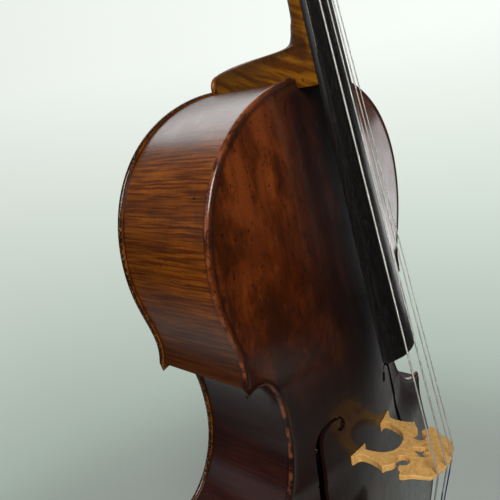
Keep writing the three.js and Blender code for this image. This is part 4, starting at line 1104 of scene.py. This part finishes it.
def string_points(string):
    name, radius, nut_x, bridge_x, tail_x, winding_x, side, peg = string
    axis_y, axis_z = PEG_AXES[peg]
    nut_y = board_under(NUT_Z) - BOARD_EDGE - arc_rise(nut_x, BOARD_HALF_NUT) - 1.3 - radius
    height = -STRING_TOP + 0.15 + bridge_x**2 / (2 * BOARD_RADIUS) - (0.6 if name == "c" else 0)
    ridge = tail_surface(tail_x) - TAIL_RIDGE - 0.3 - radius
    drum = peg_radius(side * winding_x) + 3 * radius + 0.9
    above = [
        (winding_x, axis_y - drum * 0.92, axis_z - drum * 0.4), (nut_x, nut_y + 0.8, NUT_Z + 6),
        (nut_x, nut_y, NUT_Z + 2.5), (bridge_x, height, BRIDGE_Z + 1.2), (bridge_x, height, BRIDGE_Z - 1.2),
    ]
    bends = ((ridge, -3), (ridge, -9.9), (-4.6, -16), (-4.6, -20.9))
    return np.vstack([above, from_tail([(tail_x, y, z) for y, z in bends])])


def eased(path, reach):
    """The path with each corner rounded off within reach of it."""
    made = [path[:1]]
    for before, corner, after in zip(path, path[1:], path[2:]):
        start = corner + (before - corner) * min(0.45, reach / math.dist(before, corner))
        end = corner + (after - corner) * min(0.45, reach / math.dist(after, corner))
        t = np.linspace(0, 1, 6)[:, None]
        made.append((1 - t) ** 2 * start + 2 * (1 - t) * t * corner + t**2 * end)
    return np.vstack([*made, path[-1:]])


SILKS = {"c": (0.3, 0.05, 0.04), "g": (0.04, 0.16, 0.07), "d": (0.05, 0.08, 0.25), "a": (0.32, 0.2, 0.04)}
for string in STRINGS:
    metal = wound_string(f"string_{string.name}_metal", SILKS[string.name])
    vertices, faces, along = tube(eased(string_points(string), 2.0), string.radius, 18)
    piece(f"string_{string.name}_wound", vertices, faces, metal, f"string_{string.name}", "string_winding",
          values={"along": along}, sharp=60)


# ---------------- saddle
def saddle():
    profile = spline([(4.2, -7.7), (-5.2, -7.7), (-6.6, -6.6), (-7, -5), (-6.9, -2.8), (-6.2, -1.4),
                      (-5, -0.5), (4.2, -0.5)], 4)
    rings = []
    ends = np.array([SADDLE_HALF - 0.4, SADDLE_HALF])
    for x in np.r_[-ends[::-1], np.linspace(-18, 18, 21), ends]:
        tuck = 0.5 * max(0, abs(x) - (SADDLE_HALF - 0.5))
        fall = 1.6 * (abs(x) / SADDLE_HALF) ** 4  # its ends are lower than its middle
        y = np.maximum(profile[:, 0], -7 + fall + tuck)
        z = -BODY_LENGTH - np.clip(profile[:, 1], -7.7 + tuck, -0.5 - tuck)
        rings.append(np.column_stack([np.full(len(y), x * 0.985), y, z]))
    vertices, faces = loft(rings)
    piece("saddle_rounded", vertices, faces, EBONY, "saddle", "ebony")


saddle()


# ---------------- tailpiece and fine tuners
TAIL_STATIONS = [  # z and half width
    (0, 31), (-3, 33.3), (-7, 34), (-10, 34), (-40, 32.3), (-70, 30), (-150, 24.2),
    (-TAIL_LENGTH + 12, 19.5), (-TAIL_LENGTH, 15),
]
TAIL_UNDER = 5  # y of the tailpiece's underside
SLOT_HALF, SLOT_TOP, SLOT_WINDOW, SLOT_END, SLOT_SKIN = 3.2, -9.5, -46, -63, -1
GUT_X, GUT_RADIUS = 8, 1.6


def tailpiece():
    stations = np.array(TAIL_STATIONS)
    places = np.r_[0, -0.5, -1.2, -2, -3, -4.5, -6, -7, -7.8, -8.6, -9.4, -10.4,
                   np.arange(-16, 8 - TAIL_LENGTH, -8),
                   np.linspace(6 - TAIL_LENGTH, 0.6 - TAIL_LENGTH, 6), 0.2 - TAIL_LENGTH, -TAIL_LENGTH]
    rings = []
    for z in places:
        half = np.interp(z, stations[::-1, 0], stations[::-1, 1])
        ridge = (TAIL_RIDGE + 0.25) * ease(-z, 0, 3) * (1 - ease(-z, 6.5, 10))
        ends = quarter_drop(np.array(min(-z, z + TAIL_LENGTH)), 1.2)
        end_fall = 2.5 * ease(-z, TAIL_LENGTH - 12, TAIL_LENGTH)
        half -= ends * 0.6
        x = np.linspace(half, -half, 61)
        top = tail_surface(x) - ridge + ends + end_fall + quarter_drop(half - np.abs(x), 1.8)
        low = TAIL_UNDER - ends * 0.5
        flank = np.linspace(0.12, 1, 7)
        flank_x = half - 0.25 * half * flank**2.2
        flank_y = top[-1] + (low - top[-1]) * flank
        under_x = np.linspace(-0.7, 0.7, 13) * half
        under_y = low - 1.2 * (1 - (under_x / (0.7 * half)) ** 2)
        rings.append(level(np.r_[x, -flank_x, under_x, flank_x[::-1]],
                           np.r_[top, flank_y, under_y, flank_y[::-1]], z))
    tools = []
    angle = np.linspace(0, math.pi, 15)
    for string in STRINGS:
        left, right = string.tail_x - SLOT_HALF, string.tail_x + SLOT_HALF
        slot_x = np.r_[string.tail_x + SLOT_HALF * np.cos(angle), left, right]
        slot_z = np.r_[SLOT_TOP - SLOT_HALF + SLOT_HALF * np.sin(angle), SLOT_WINDOW, SLOT_WINDOW]
        tools.append(loft([np.column_stack([slot_x, np.full(len(slot_x), y), slot_z]) for y in (-30, 20)]))
        tools.append(block((left, SLOT_SKIN, SLOT_END), (right, 20, SLOT_WINDOW + 4)))
        tools.append(lathe([(1.8, -20), (1.8, 4)], 20, (string.tail_x, 0, SCREW_Z), "y"))
    for x in (-GUT_X, GUT_X):
        bore = GUT_RADIUS + 0.4
        tools.append(lathe([(bore, -30), (bore, 30)], 20, (x, 0.5, -TAIL_LENGTH)))
    vertices, faces = carved(loft(rings), *tools)
    piece("tailpiece_shaped", from_tail(vertices), faces, EBONY, "tailpiece", "ebony", sharp=30)


tailpiece()

LEVER_SIDE = [  # z and y of its corners
    (-60, 0.2), (-46, 0.2), (-40, -2.5), (-24, -2.5), (-21.5, -7), (-18, -7), (-18, 3.5), (-60, 3.5),
]
PIVOT_Y, PIVOT_Z = 1.2, -36
KNOB_INNER, KNOB_TEETH = -16.6, 24


KNOB_RINGS = [  # place along the knob, radius, and depth of the knurling
    (0, 3.2, 0), (0.3, 3.8, 0.02), (0.8, 4.12, 0.15), (1.5, 4.2, 0.2), (4.5, 4.2, 0.2), (5.2, 4.1, 0.12),
    (5.7, 3.8, 0.02), (6, 3.3, 0), (5.85, 2.6, 0), (5.6, 1.5, 0),
]


def lever(x):
    side = np.array(LEVER_SIDE, float)
    corners = len(side)
    rings = [np.column_stack([np.full(corners, x + reach), side[:, 1], side[:, 0]]) for reach in (-2.5, 2.5)]
    vertices, faces = loft(rings, capped=False)
    bar = vertices, faces + [tuple(range(corners)), tuple(range(corners, 2 * corners))]
    pin = lathe([(1.6, -3), (1.6, 3)], 20, (x, PIVOT_Y, PIVOT_Z), "x")
    fork = block((x - 1.6, -8, -22), (x + 1.6, -1.5, -17))
    vertices, faces = carved(carved(bar, fork, bevel=0.35), pin, operation="UNION")
    return from_tail(vertices), faces


def screw(x):
    """A threaded stem with a plain collar under the knob."""
    angle = around(20)
    rings = []
    for place in np.arange(0, 14, 0.175):
        point = min(1, 0.55 + place / 1.2)
        radius = (1.42 + 0.08 * np.cos(angle - 2 * math.pi * place / 0.7)) * point
        rings.append((radius, place))
    rings += [(1.5, 14), (2.3, 14.1), (2.5, 14.4), (2.5, 15.8), (2.3, 16)]
    made = [np.column_stack([r * np.cos(angle), np.full(20, -0.2 - p), r * np.sin(angle)]) for r, p in rings]
    vertices, faces = loft(made)
    return from_tail(vertices + [x, 0, SCREW_Z]), faces


def knob(x):
    """A knurled head with a rounded rim and a dished face."""
    angle = around(8 * KNOB_TEETH)
    teeth = np.clip(np.cos(KNOB_TEETH * angle) * 1.4, -1, 1)
    rings = []
    for place, base, bite in KNOB_RINGS:
        radius = base + bite * teeth
        y = np.full(len(angle), KNOB_INNER - place)
        rings.append(np.column_stack([radius * np.cos(angle), y, radius * np.sin(angle)]))
    vertices, faces = loft(rings)
    return from_tail(vertices + [x, 0, SCREW_Z]), faces


for string in STRINGS:
    for part, shape, sharp in (("lever", lever, 40), ("screw", screw, 50), ("knob", knob, 28)):
        piece(f"tuner_{part}_{string.name}_fine", *shape(string.tail_x), BRASS, f"tuner_{part}_{string.name}",
              "tuner_metal", body=f"tuner_{string.name}_{part}", sharp=sharp)


# ---------------- pegs with their turns of string
HEAD_STATIONS = [  # along the peg, half thickness and half width of the head
    (44, 5.4, 5.4), (46, 5.1, 6.4), (48.5, 4.9, 9.2), (51, 4.7, 12), (54, 4.5, 14), (58, 4.4, 14.9),
    (62, 4.5, 14.2), (65.5, 4.6, 11.8), (68, 4.5, 8.6), (69.6, 4.0, 5.6), (70.2, 2.9, 3.2),
]
SHANK = [(4.6, 0), (5.0, 0.3), (5.2, 1)]  # radius, and place from the peg's tip
COLLAR = [  # radius, and place from the collar
    (7, 0), (7, 0.2), (9, 0.6), (9.5, 1.2), (9.5, 1.9), (9.1, 2.1), (9.5, 2.4), (9.5, 3.4), (8.8, 4),
    (6.6, 5), (5.9, 6.5), (5.5, 9), (5.4, 12),
]


def peg(string):
    angle = around(36)
    sections = [(PEG_TIP + along, radius, radius) for radius, along in SHANK]
    sections += [(PEG_COLLAR + along, radius, radius) for radius, along in COLLAR]
    sections += [tuple(row) for row in spline(HEAD_STATIONS, 3)]
    sections += [(70.4, 2.4, 2.4), (71.2, 2.7, 2.7), (71.8, 2.2, 2.2), (72, 1.2, 1.2)]
    rings = []
    for along, thick, wide in sections:
        dish = 0.3 * np.clip((wide - thick) / 9, 0, 1) * np.sin(angle) ** 6
        y = thick * np.sin(angle) * (1 - dish)
        rings.append(np.column_stack([np.full(36, string.side * along), y, wide * np.cos(angle)]))
    vertices, faces = loft(rings)
    return vertices + [0, *PEG_AXES[string.peg]], faces


WINDING_WIDTH = 6


def winding(string):
    """The string's turns round its peg."""
    thick = 2 * string.radius
    turns = WINDING_WIDTH / (thick + 0.05) - 1
    t = np.linspace(0, 1, int(turns * 36))
    angle = 2 * math.pi * turns * t
    x = string.winding_x + (t - 0.5) * (WINDING_WIDTH - thick)
    reach = peg_radius(string.side * x) + string.radius + 0.35
    path = np.column_stack([x, reach * np.cos(angle), reach * np.sin(angle)]) + [0, *PEG_AXES[string.peg]]
    return tube(path, string.radius, 10)


for string in STRINGS:
    body = f"peg_{string.name}_turning"
    metal = bpy.data.materials[f"string_{string.name}_metal"]
    piece(f"peg_{string.name}_turned", *peg(string), EBONY, f"peg_{string.name}", "ebony", body=body,
          sharp=34)
    vertices, faces, _ = winding(string)
    in_silk = np.full(len(vertices), 900.0)  # past the place where the silk starts
    piece(f"winding_{string.name}_coiled", vertices, faces, metal, f"winding_{string.name}", "string_winding",
          body=body, values={"along": in_silk}, sharp=60)


# ---------------- pegbox and scroll
EYE_Y, EYE_Z = 66, 441  # the middle of the scroll
PEGBOX_BASE = NUT_Z + NUT_LENGTH + GLUE_GAP
PEGBOX_FRONT = [(PEGBOX_BASE, 14), (335, 25), (380, 40), (404, 53), (414, 60)]  # z and y
PEGBOX_BACK = [(PEGBOX_BASE, 58), (304, 64), (340, 72), (380, 80), (412, 91), (424, 97)]
PEGBOX_HALF = [(PEGBOX_BASE, 21.5), (300, 22.5), (340, 20.5), (380, 17.5), (405, 14), (430, 14)]
PEGBOX_HOLLOW = [(PEGBOX_BASE - 3, 13.5), (300, 13.3), (320, 12.7), (340, 12), (360, 10.9), (380, 9.5),
                 (396, 7.6), (404, 7)]
VOLUTE = [  # angle in half turns, from the back over the top; radius; half width
    (-0.15, 38.6, 14), (0, 38.4, 14), (0.5, 39.3, 14), (1, 37.2, 14), (1.5, 33, 15), (2, 29.2, 17),
    (2.5, 25.4, 19), (3, 21.6, 21.3), (3.5, 18.4, 23.6), (4, 15.4, 26), (4.5, 12.6, 28), (5, 10.2, 29.6),
    (5.5, 8.2, 30.6), (6, 7.2, 31),
]
FLUTE = 1.9  # depth of the two hollows that run down the back of the scroll
ACROSS = np.linspace(-1, 1, 13)


def at(table, z):
    """A table's value at a height."""
    return np.interp(z, *np.array(table).T)


def fluted(across):
    return np.sin(math.pi * np.abs(across)) ** 1.3


def scroll_block():
    """Overlapping solids: the pegbox, the volute in wedges round its eye, and the eyes."""
    rings = []
    for z in np.arange(PEGBOX_BASE, 422, 3.0):
        front, back, half = (at(table, z) for table in (PEGBOX_FRONT, PEGBOX_BACK, PEGBOX_HALF))
        depth = FLUTE * ease(z, 296, 330)
        nose_x, nose_y = [half, half - 1.2, 1.2 - half, -half], [front + 1.2, front, front, front + 1.2]
        rings.append(level(np.r_[half * ACROSS, nose_x], np.r_[back - depth * fluted(ACROSS), nose_y], z))
    parts = [loft(rings)]
    spiral = spline(VOLUTE, 12)
    for (turn, radius, half), (next_turn, next_radius, next_half) in zip(spiral, spiral[1:]):
        rings = []
        for place, reach, wide in ((turn - 0.004, radius, half), (next_turn + 0.004, next_radius, next_half)):
            rim = reach - min(FLUTE, reach * 0.08) * fluted(ACROSS)
            y = EYE_Y + np.r_[rim, 0, 0] * math.cos(place * math.pi)
            z = EYE_Z + np.r_[rim, 0, 0] * math.sin(place * math.pi)
            rings.append(np.column_stack([np.r_[ACROSS, 1, -1] * wide, y, z]))
        parts.append(loft(rings))
    eye = [(0, -31.2), (5, -31.2), (6.6, -30.4), (7, -29), (7, 29), (6.6, 30.4), (5, 31.2), (0, 31.2)]
    parts.append(lathe(eye, 32, (0, EYE_Y, EYE_Z), "x"))
    return merged(*parts)


def pegbox_and_scroll():
    solid = blended(scroll_block(), 0.75, 3, keep=0.45)
    rings = []
    for z, half in PEGBOX_HOLLOW:
        front = at(PEGBOX_FRONT, z) - 20
        back = at(PEGBOX_BACK, z) - 11 - 10 * (1 - ease(z, 286, 306)) - 9 * ease(z, 384, 404)
        rings.append(level([-half, half, half, half - 3, 3 - half, -half],
                           [front, front, back - 3, back, back, back - 3], z))
    tools = [loft(rings)]
    bore = [(peg_radius(PEG_TIP) + 0.15, PEG_TIP - 8), (peg_radius(PEG_COLLAR) + 0.15, PEG_COLLAR)]
    for string in STRINGS:
        tools.append(lathe(bore, 36, (0, *PEG_AXES[string.peg]), "x", sign=string.side))
    base = block((-40, -20, PEGBOX_BASE - 20), (40, 90, PEGBOX_BASE))
    vertices, faces = carved(solid, *tools, base)
    piece("pegbox_scroll_carved", vertices, faces, SCROLL_MAPLE, "pegbox_scroll", "scroll_maple", sharp=48)


pegbox_and_scroll()


# ---------------- endpin and tailgut
ENDPIN_Y = DEPTH / 2
PLUG_TOP, GROOVE_Z, COLLAR_Z = -751.8, -757.8, -768.8
FLOOR_Z = -TOP / MM
plug_profile = [
    (5.3, 28), (5.3, -25.5), (12.2, -25.5), (13.6, -24.9), (14.5, -23), (14.5, -19), (14.1, -18.7),
    (14.1, -15.3), (14.5, -15), (14.5, -11.4), (13.9, -10), (12.6, -9.5), (9.6, -8.9), (8.8, -8.2), (8.8, -4),
    (9.4, -3.2), (14.9, -3), (15.5, -2.4), (15.5, -0.6), (14.9, 0), (12.2, 0), (10.8, 28), (5.3, 28),
]
plug = lathe(plug_profile, 48, (0, ENDPIN_Y, PLUG_TOP))
thumb_bore = lathe([(2.2, 0), (2.2, 30)], 24, (0, ENDPIN_Y, COLLAR_Z), "y")
piece("endpin_plug_turned", *carved(plug, thumb_bore), EBONY, "endpin_plug", "ebony")

thumb_y = ENDPIN_Y + 5.4


def thumbscrew():
    stem = [(0, 0), (1.4, 0)]
    for k in range(12):
        stem += [(2, 0.5 + 0.8 * k), (1.75, 0.9 + 0.8 * k)]
    stem += [(2, 10.2), (6.0, 10.4), (6.5, 10.9), (6.5, 12.6), (6.0, 13.1), (3.2, 14), (3, 15.5), (0, 15.5)]
    body = lathe(stem, 32, (0, thumb_y, COLLAR_Z), "y")
    angle = around(40)
    rings = []
    for depth, grow in ((-2, 0.8), (-1.8, 0.92), (-1.1, 1), (1.1, 1), (1.8, 0.92), (2, 0.8)):
        x = 9.5 * grow * np.cos(angle)
        y = thumb_y + 18 + 5 * grow * np.sin(angle) * (0.72 + 0.28 * np.abs(np.cos(angle)) ** 0.8)
        rings.append(level(x, y, COLLAR_Z + depth))
    return carved(body, loft(rings), operation="UNION")


piece("endpin_thumbscrew_wing", *thumbscrew(), STEEL, "endpin_thumbscrew", "steel", body="endpin_lock",
      sharp=32)

rod_profile = [(0, 10), *((ROD_RADIUS, place) for place in (10, 60, 120, 240, 360, 438.6)),
               (ROD_RADIUS - 0.4, 439.4), (3.6, 440), (0, 440)]
piece("endpin_rod_ground", *lathe(rod_profile, 48, (0, ENDPIN_Y, FLOOR_Z)), STEEL, "endpin_rod", "steel",
      body="endpin")

tip_profile = [(0, 0), (7.2, 0), (8.4, 0.5), (9.2, 1.8), (9.4, 3.2)]
for k in range(6):
    place = 5 + 3.4 * k
    edge = float(np.interp(place, [3, 28], [9.4, 7.8]))
    for cut, on in ((0, 0), (0.7, 0.5), (0.7, 1.2), (0.1, 1.7)):
        tip_profile.append((edge - cut, place + on))
tip_profile += [(7.9, 26.6), (7.2, 27.7), (5.9, 28), (5.3, 27.6), (5.3, 9.7), (0, 9.7)]
piece("endpin_tip_ribbed", *lathe(tip_profile, 48, (0, ENDPIN_Y, FLOOR_Z)), RUBBER, "endpin_tip", "rubber",
      body="endpin", sharp=40)


def tailgut():
    start = from_tail([(GUT_X, 0.5, 25 - TAIL_LENGTH), (GUT_X, 0.5, -2 - TAIL_LENGTH)])
    saddle_bend = [(GUT_X, -9.8, -747), (GUT_X, -8, -756), (GUT_X, -3.5, -758.6)]
    side = np.vstack([start, saddle_bend, [(8.4, 8, GROOVE_Z), (10, 40, GROOVE_Z)]])
    angle = np.linspace(0, math.pi, 25)
    turn = level(10.8 * np.cos(angle), ENDPIN_Y + 10.8 * np.sin(angle), GROOVE_Z)
    path = np.vstack([side, turn, (side * [-1, 1, 1])[::-1]])
    return tube(evenly(eased(path, 2.5), 1.2), GUT_RADIUS, 14)


vertices, faces, along = tailgut()
piece("tailgut_cord", vertices, faces, TAIL_CORD, "tailgut", "tail_cord", values={"along": along}, sharp=60)


# ---------------- wood that stays as the CAD made it
# Only a corner block's tip shows, as the dark seam between two ribs.
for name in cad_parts:
    if name.startswith(("top_block", "end_block", "corner_block", "lining", "bass_bar", "sound_post")):
        for material_slot in bpy.data.objects[name].material_slots:
            material_slot.material = CORNER_WOOD if name.startswith("corner") else INNER_WOOD


# ---------------- floor, surroundings, lights and camera
FLOOR_CLEAR, FLOOR_GONE = 0.32, 1.1  # the floor fades into the backdrop between these radii, in metres


def floor():
    paint = Paint("floor", (0.5, 0.55, 0.52), Roughness=0.6, Specular_IOR_Level=0.3)
    paint.cover((0.53, 0.58, 0.55), paint.noise((3, 3, 3)))
    length = paint.node("ShaderNodeVectorMath", operation="LENGTH")
    paint.feed(length.inputs[0], paint.vector(paint.axis("X"), paint.axis("Y"), 0.0))
    clear = paint.rise(length.outputs["Value"], FLOOR_CLEAR, FLOOR_GONE, 1, 0)
    paint.feed(paint.shader.inputs["Alpha"], clear)
    vertices = [(FLOOR_GONE * math.cos(a), FLOOR_GONE * math.sin(a), 0) for a in around(96)]
    mesh = bpy.data.meshes.new("floor")
    mesh.from_pydata(vertices, [], [tuple(range(96))])
    mesh.materials.append(paint.done())
    in_scene("floor", mesh)


floor()


def surroundings():
    """A pale backdrop, and around it a studio that is brighter above and behind than beside the camera."""
    world = bpy.data.worlds.new("studio")
    bpy.context.scene.world = world
    world.use_nodes = True
    sky = Nodes(world.node_tree)
    direction = sky.node("ShaderNodeSeparateXYZ")
    sky.feed(direction.inputs[0], sky.node("ShaderNodeTexCoord").outputs["Generated"])

    def ramp(axis, stops):
        """Colours against one coordinate of the direction, from -1 to 1."""
        made = sky.node("ShaderNodeValToRGB")
        spread = sky.node("ShaderNodeMapRange")
        sky.feed(spread.inputs["From Min"], -1)
        sky.feed(spread.inputs["Value"], direction.outputs[axis])
        sky.feed(made.inputs[0], spread.outputs[0])
        elements = made.color_ramp.elements
        while len(elements) < len(stops):
            elements.new(0.5)
        for element, (place, colour) in zip(elements, stops):
            element.position, element.color = (place + 1) / 2, (*colour, 1)
        return made.outputs[0]

    def product(a, b):
        return sky.mix(1, a, b, "MULTIPLY")

    def grey(*stops):
        return [(place, (shade, shade, shade)) for place, shade in stops]

    backdrop = ramp("Z", [(-0.7, (0.17, 0.205, 0.18)), (-0.54, (0.37, 0.44, 0.385)),
                          (-0.2, (0.63, 0.7, 0.63)), (0.08, (0.85, 0.89, 0.85))])
    backdrop = product(backdrop, ramp("X", grey((0.35, 0.96), (0.95, 1.12))))
    height = ramp("Z", grey((-0.7, 1.0), (-0.35, 0.05), (0.03, 0.05), (0.15, 0.4), (0.8, 0.6)))
    depth = ramp("Y", grey((-0.5, 0.05), (0.2, 0.4), (0.8, 1.0)))
    sideways = ramp("X", grey((-0.75, 1.0), (-0.62, 0.12), (-0.1, 0.25), (0.3, 1.0)))
    lighting = product(product(height, depth), sideways)
    seen = sky.node("ShaderNodeLightPath").outputs["Is Camera Ray"]
    sky.feed(sky.tree.nodes["Background"].inputs["Color"], sky.mix(seen, lighting, backdrop))


surroundings()


def softbox(name, place, target, size, power, colour=(1, 1, 1)):
    data = bpy.data.lights.new(name, "AREA")
    data.shape, data.size, data.size_y = "RECTANGLE", *size
    data.energy, data.color = power, colour
    lamp = in_scene(name, data)
    lamp.location = place
    lamp.rotation_euler = (Vector(target) - Vector(place)).to_track_quat("-Z", "Y").to_euler()


softbox("key", (-1.25, -1.35, 1.9), (0, 0, 0.9), (0.9, 0.9), 36, (1, 0.97, 0.93))
softbox("overhead", (0.75, 1.35, 2.6), (0, 0, 0.9), (1.6, 1.4), 15)
softbox("left", (-2.2, 0.3, 1.7), (0, 0, 0.8), (0.7, 1.2), 4.5)
softbox("right", (1.9, -0.1, 0.4), (0, 0, 0.7), (1.3, 0.8), 5.8)

bpy.context.scene.view_settings.view_transform = "Standard"

CAMERA_PLACE = (-0.421696, -0.333433, 0.871356)
CAMERA_AZIMUTH, CAMERA_ELEVATION, CAMERA_ROLL = 47.466, -16.533, 9.853  # degrees
CAMERA_LENS = 36.088


def camera():
    data = bpy.data.cameras.new("camera")
    data.lens, data.sensor_width, data.clip_start = CAMERA_LENS, 36, 0.02
    made = in_scene("camera", data)
    azimuth, elevation = math.radians(CAMERA_AZIMUTH), math.radians(CAMERA_ELEVATION)
    forward = Vector((math.sin(azimuth), math.cos(azimuth), 0)) * math.cos(elevation)
    forward.z = math.sin(elevation)
    level_right = Vector((math.cos(azimuth), -math.sin(azimuth), 0))
    right = Matrix.Rotation(math.radians(CAMERA_ROLL), 3, forward) @ level_right
    up = right.cross(forward)
    made.matrix_world = Matrix((
        (right.x, up.x, -forward.x, CAMERA_PLACE[0]),
        (right.y, up.y, -forward.y, CAMERA_PLACE[1]),
        (right.z, up.z, -forward.z, CAMERA_PLACE[2]),
        (0, 0, 0, 1),
    ))
    bpy.context.scene.camera = made


camera()
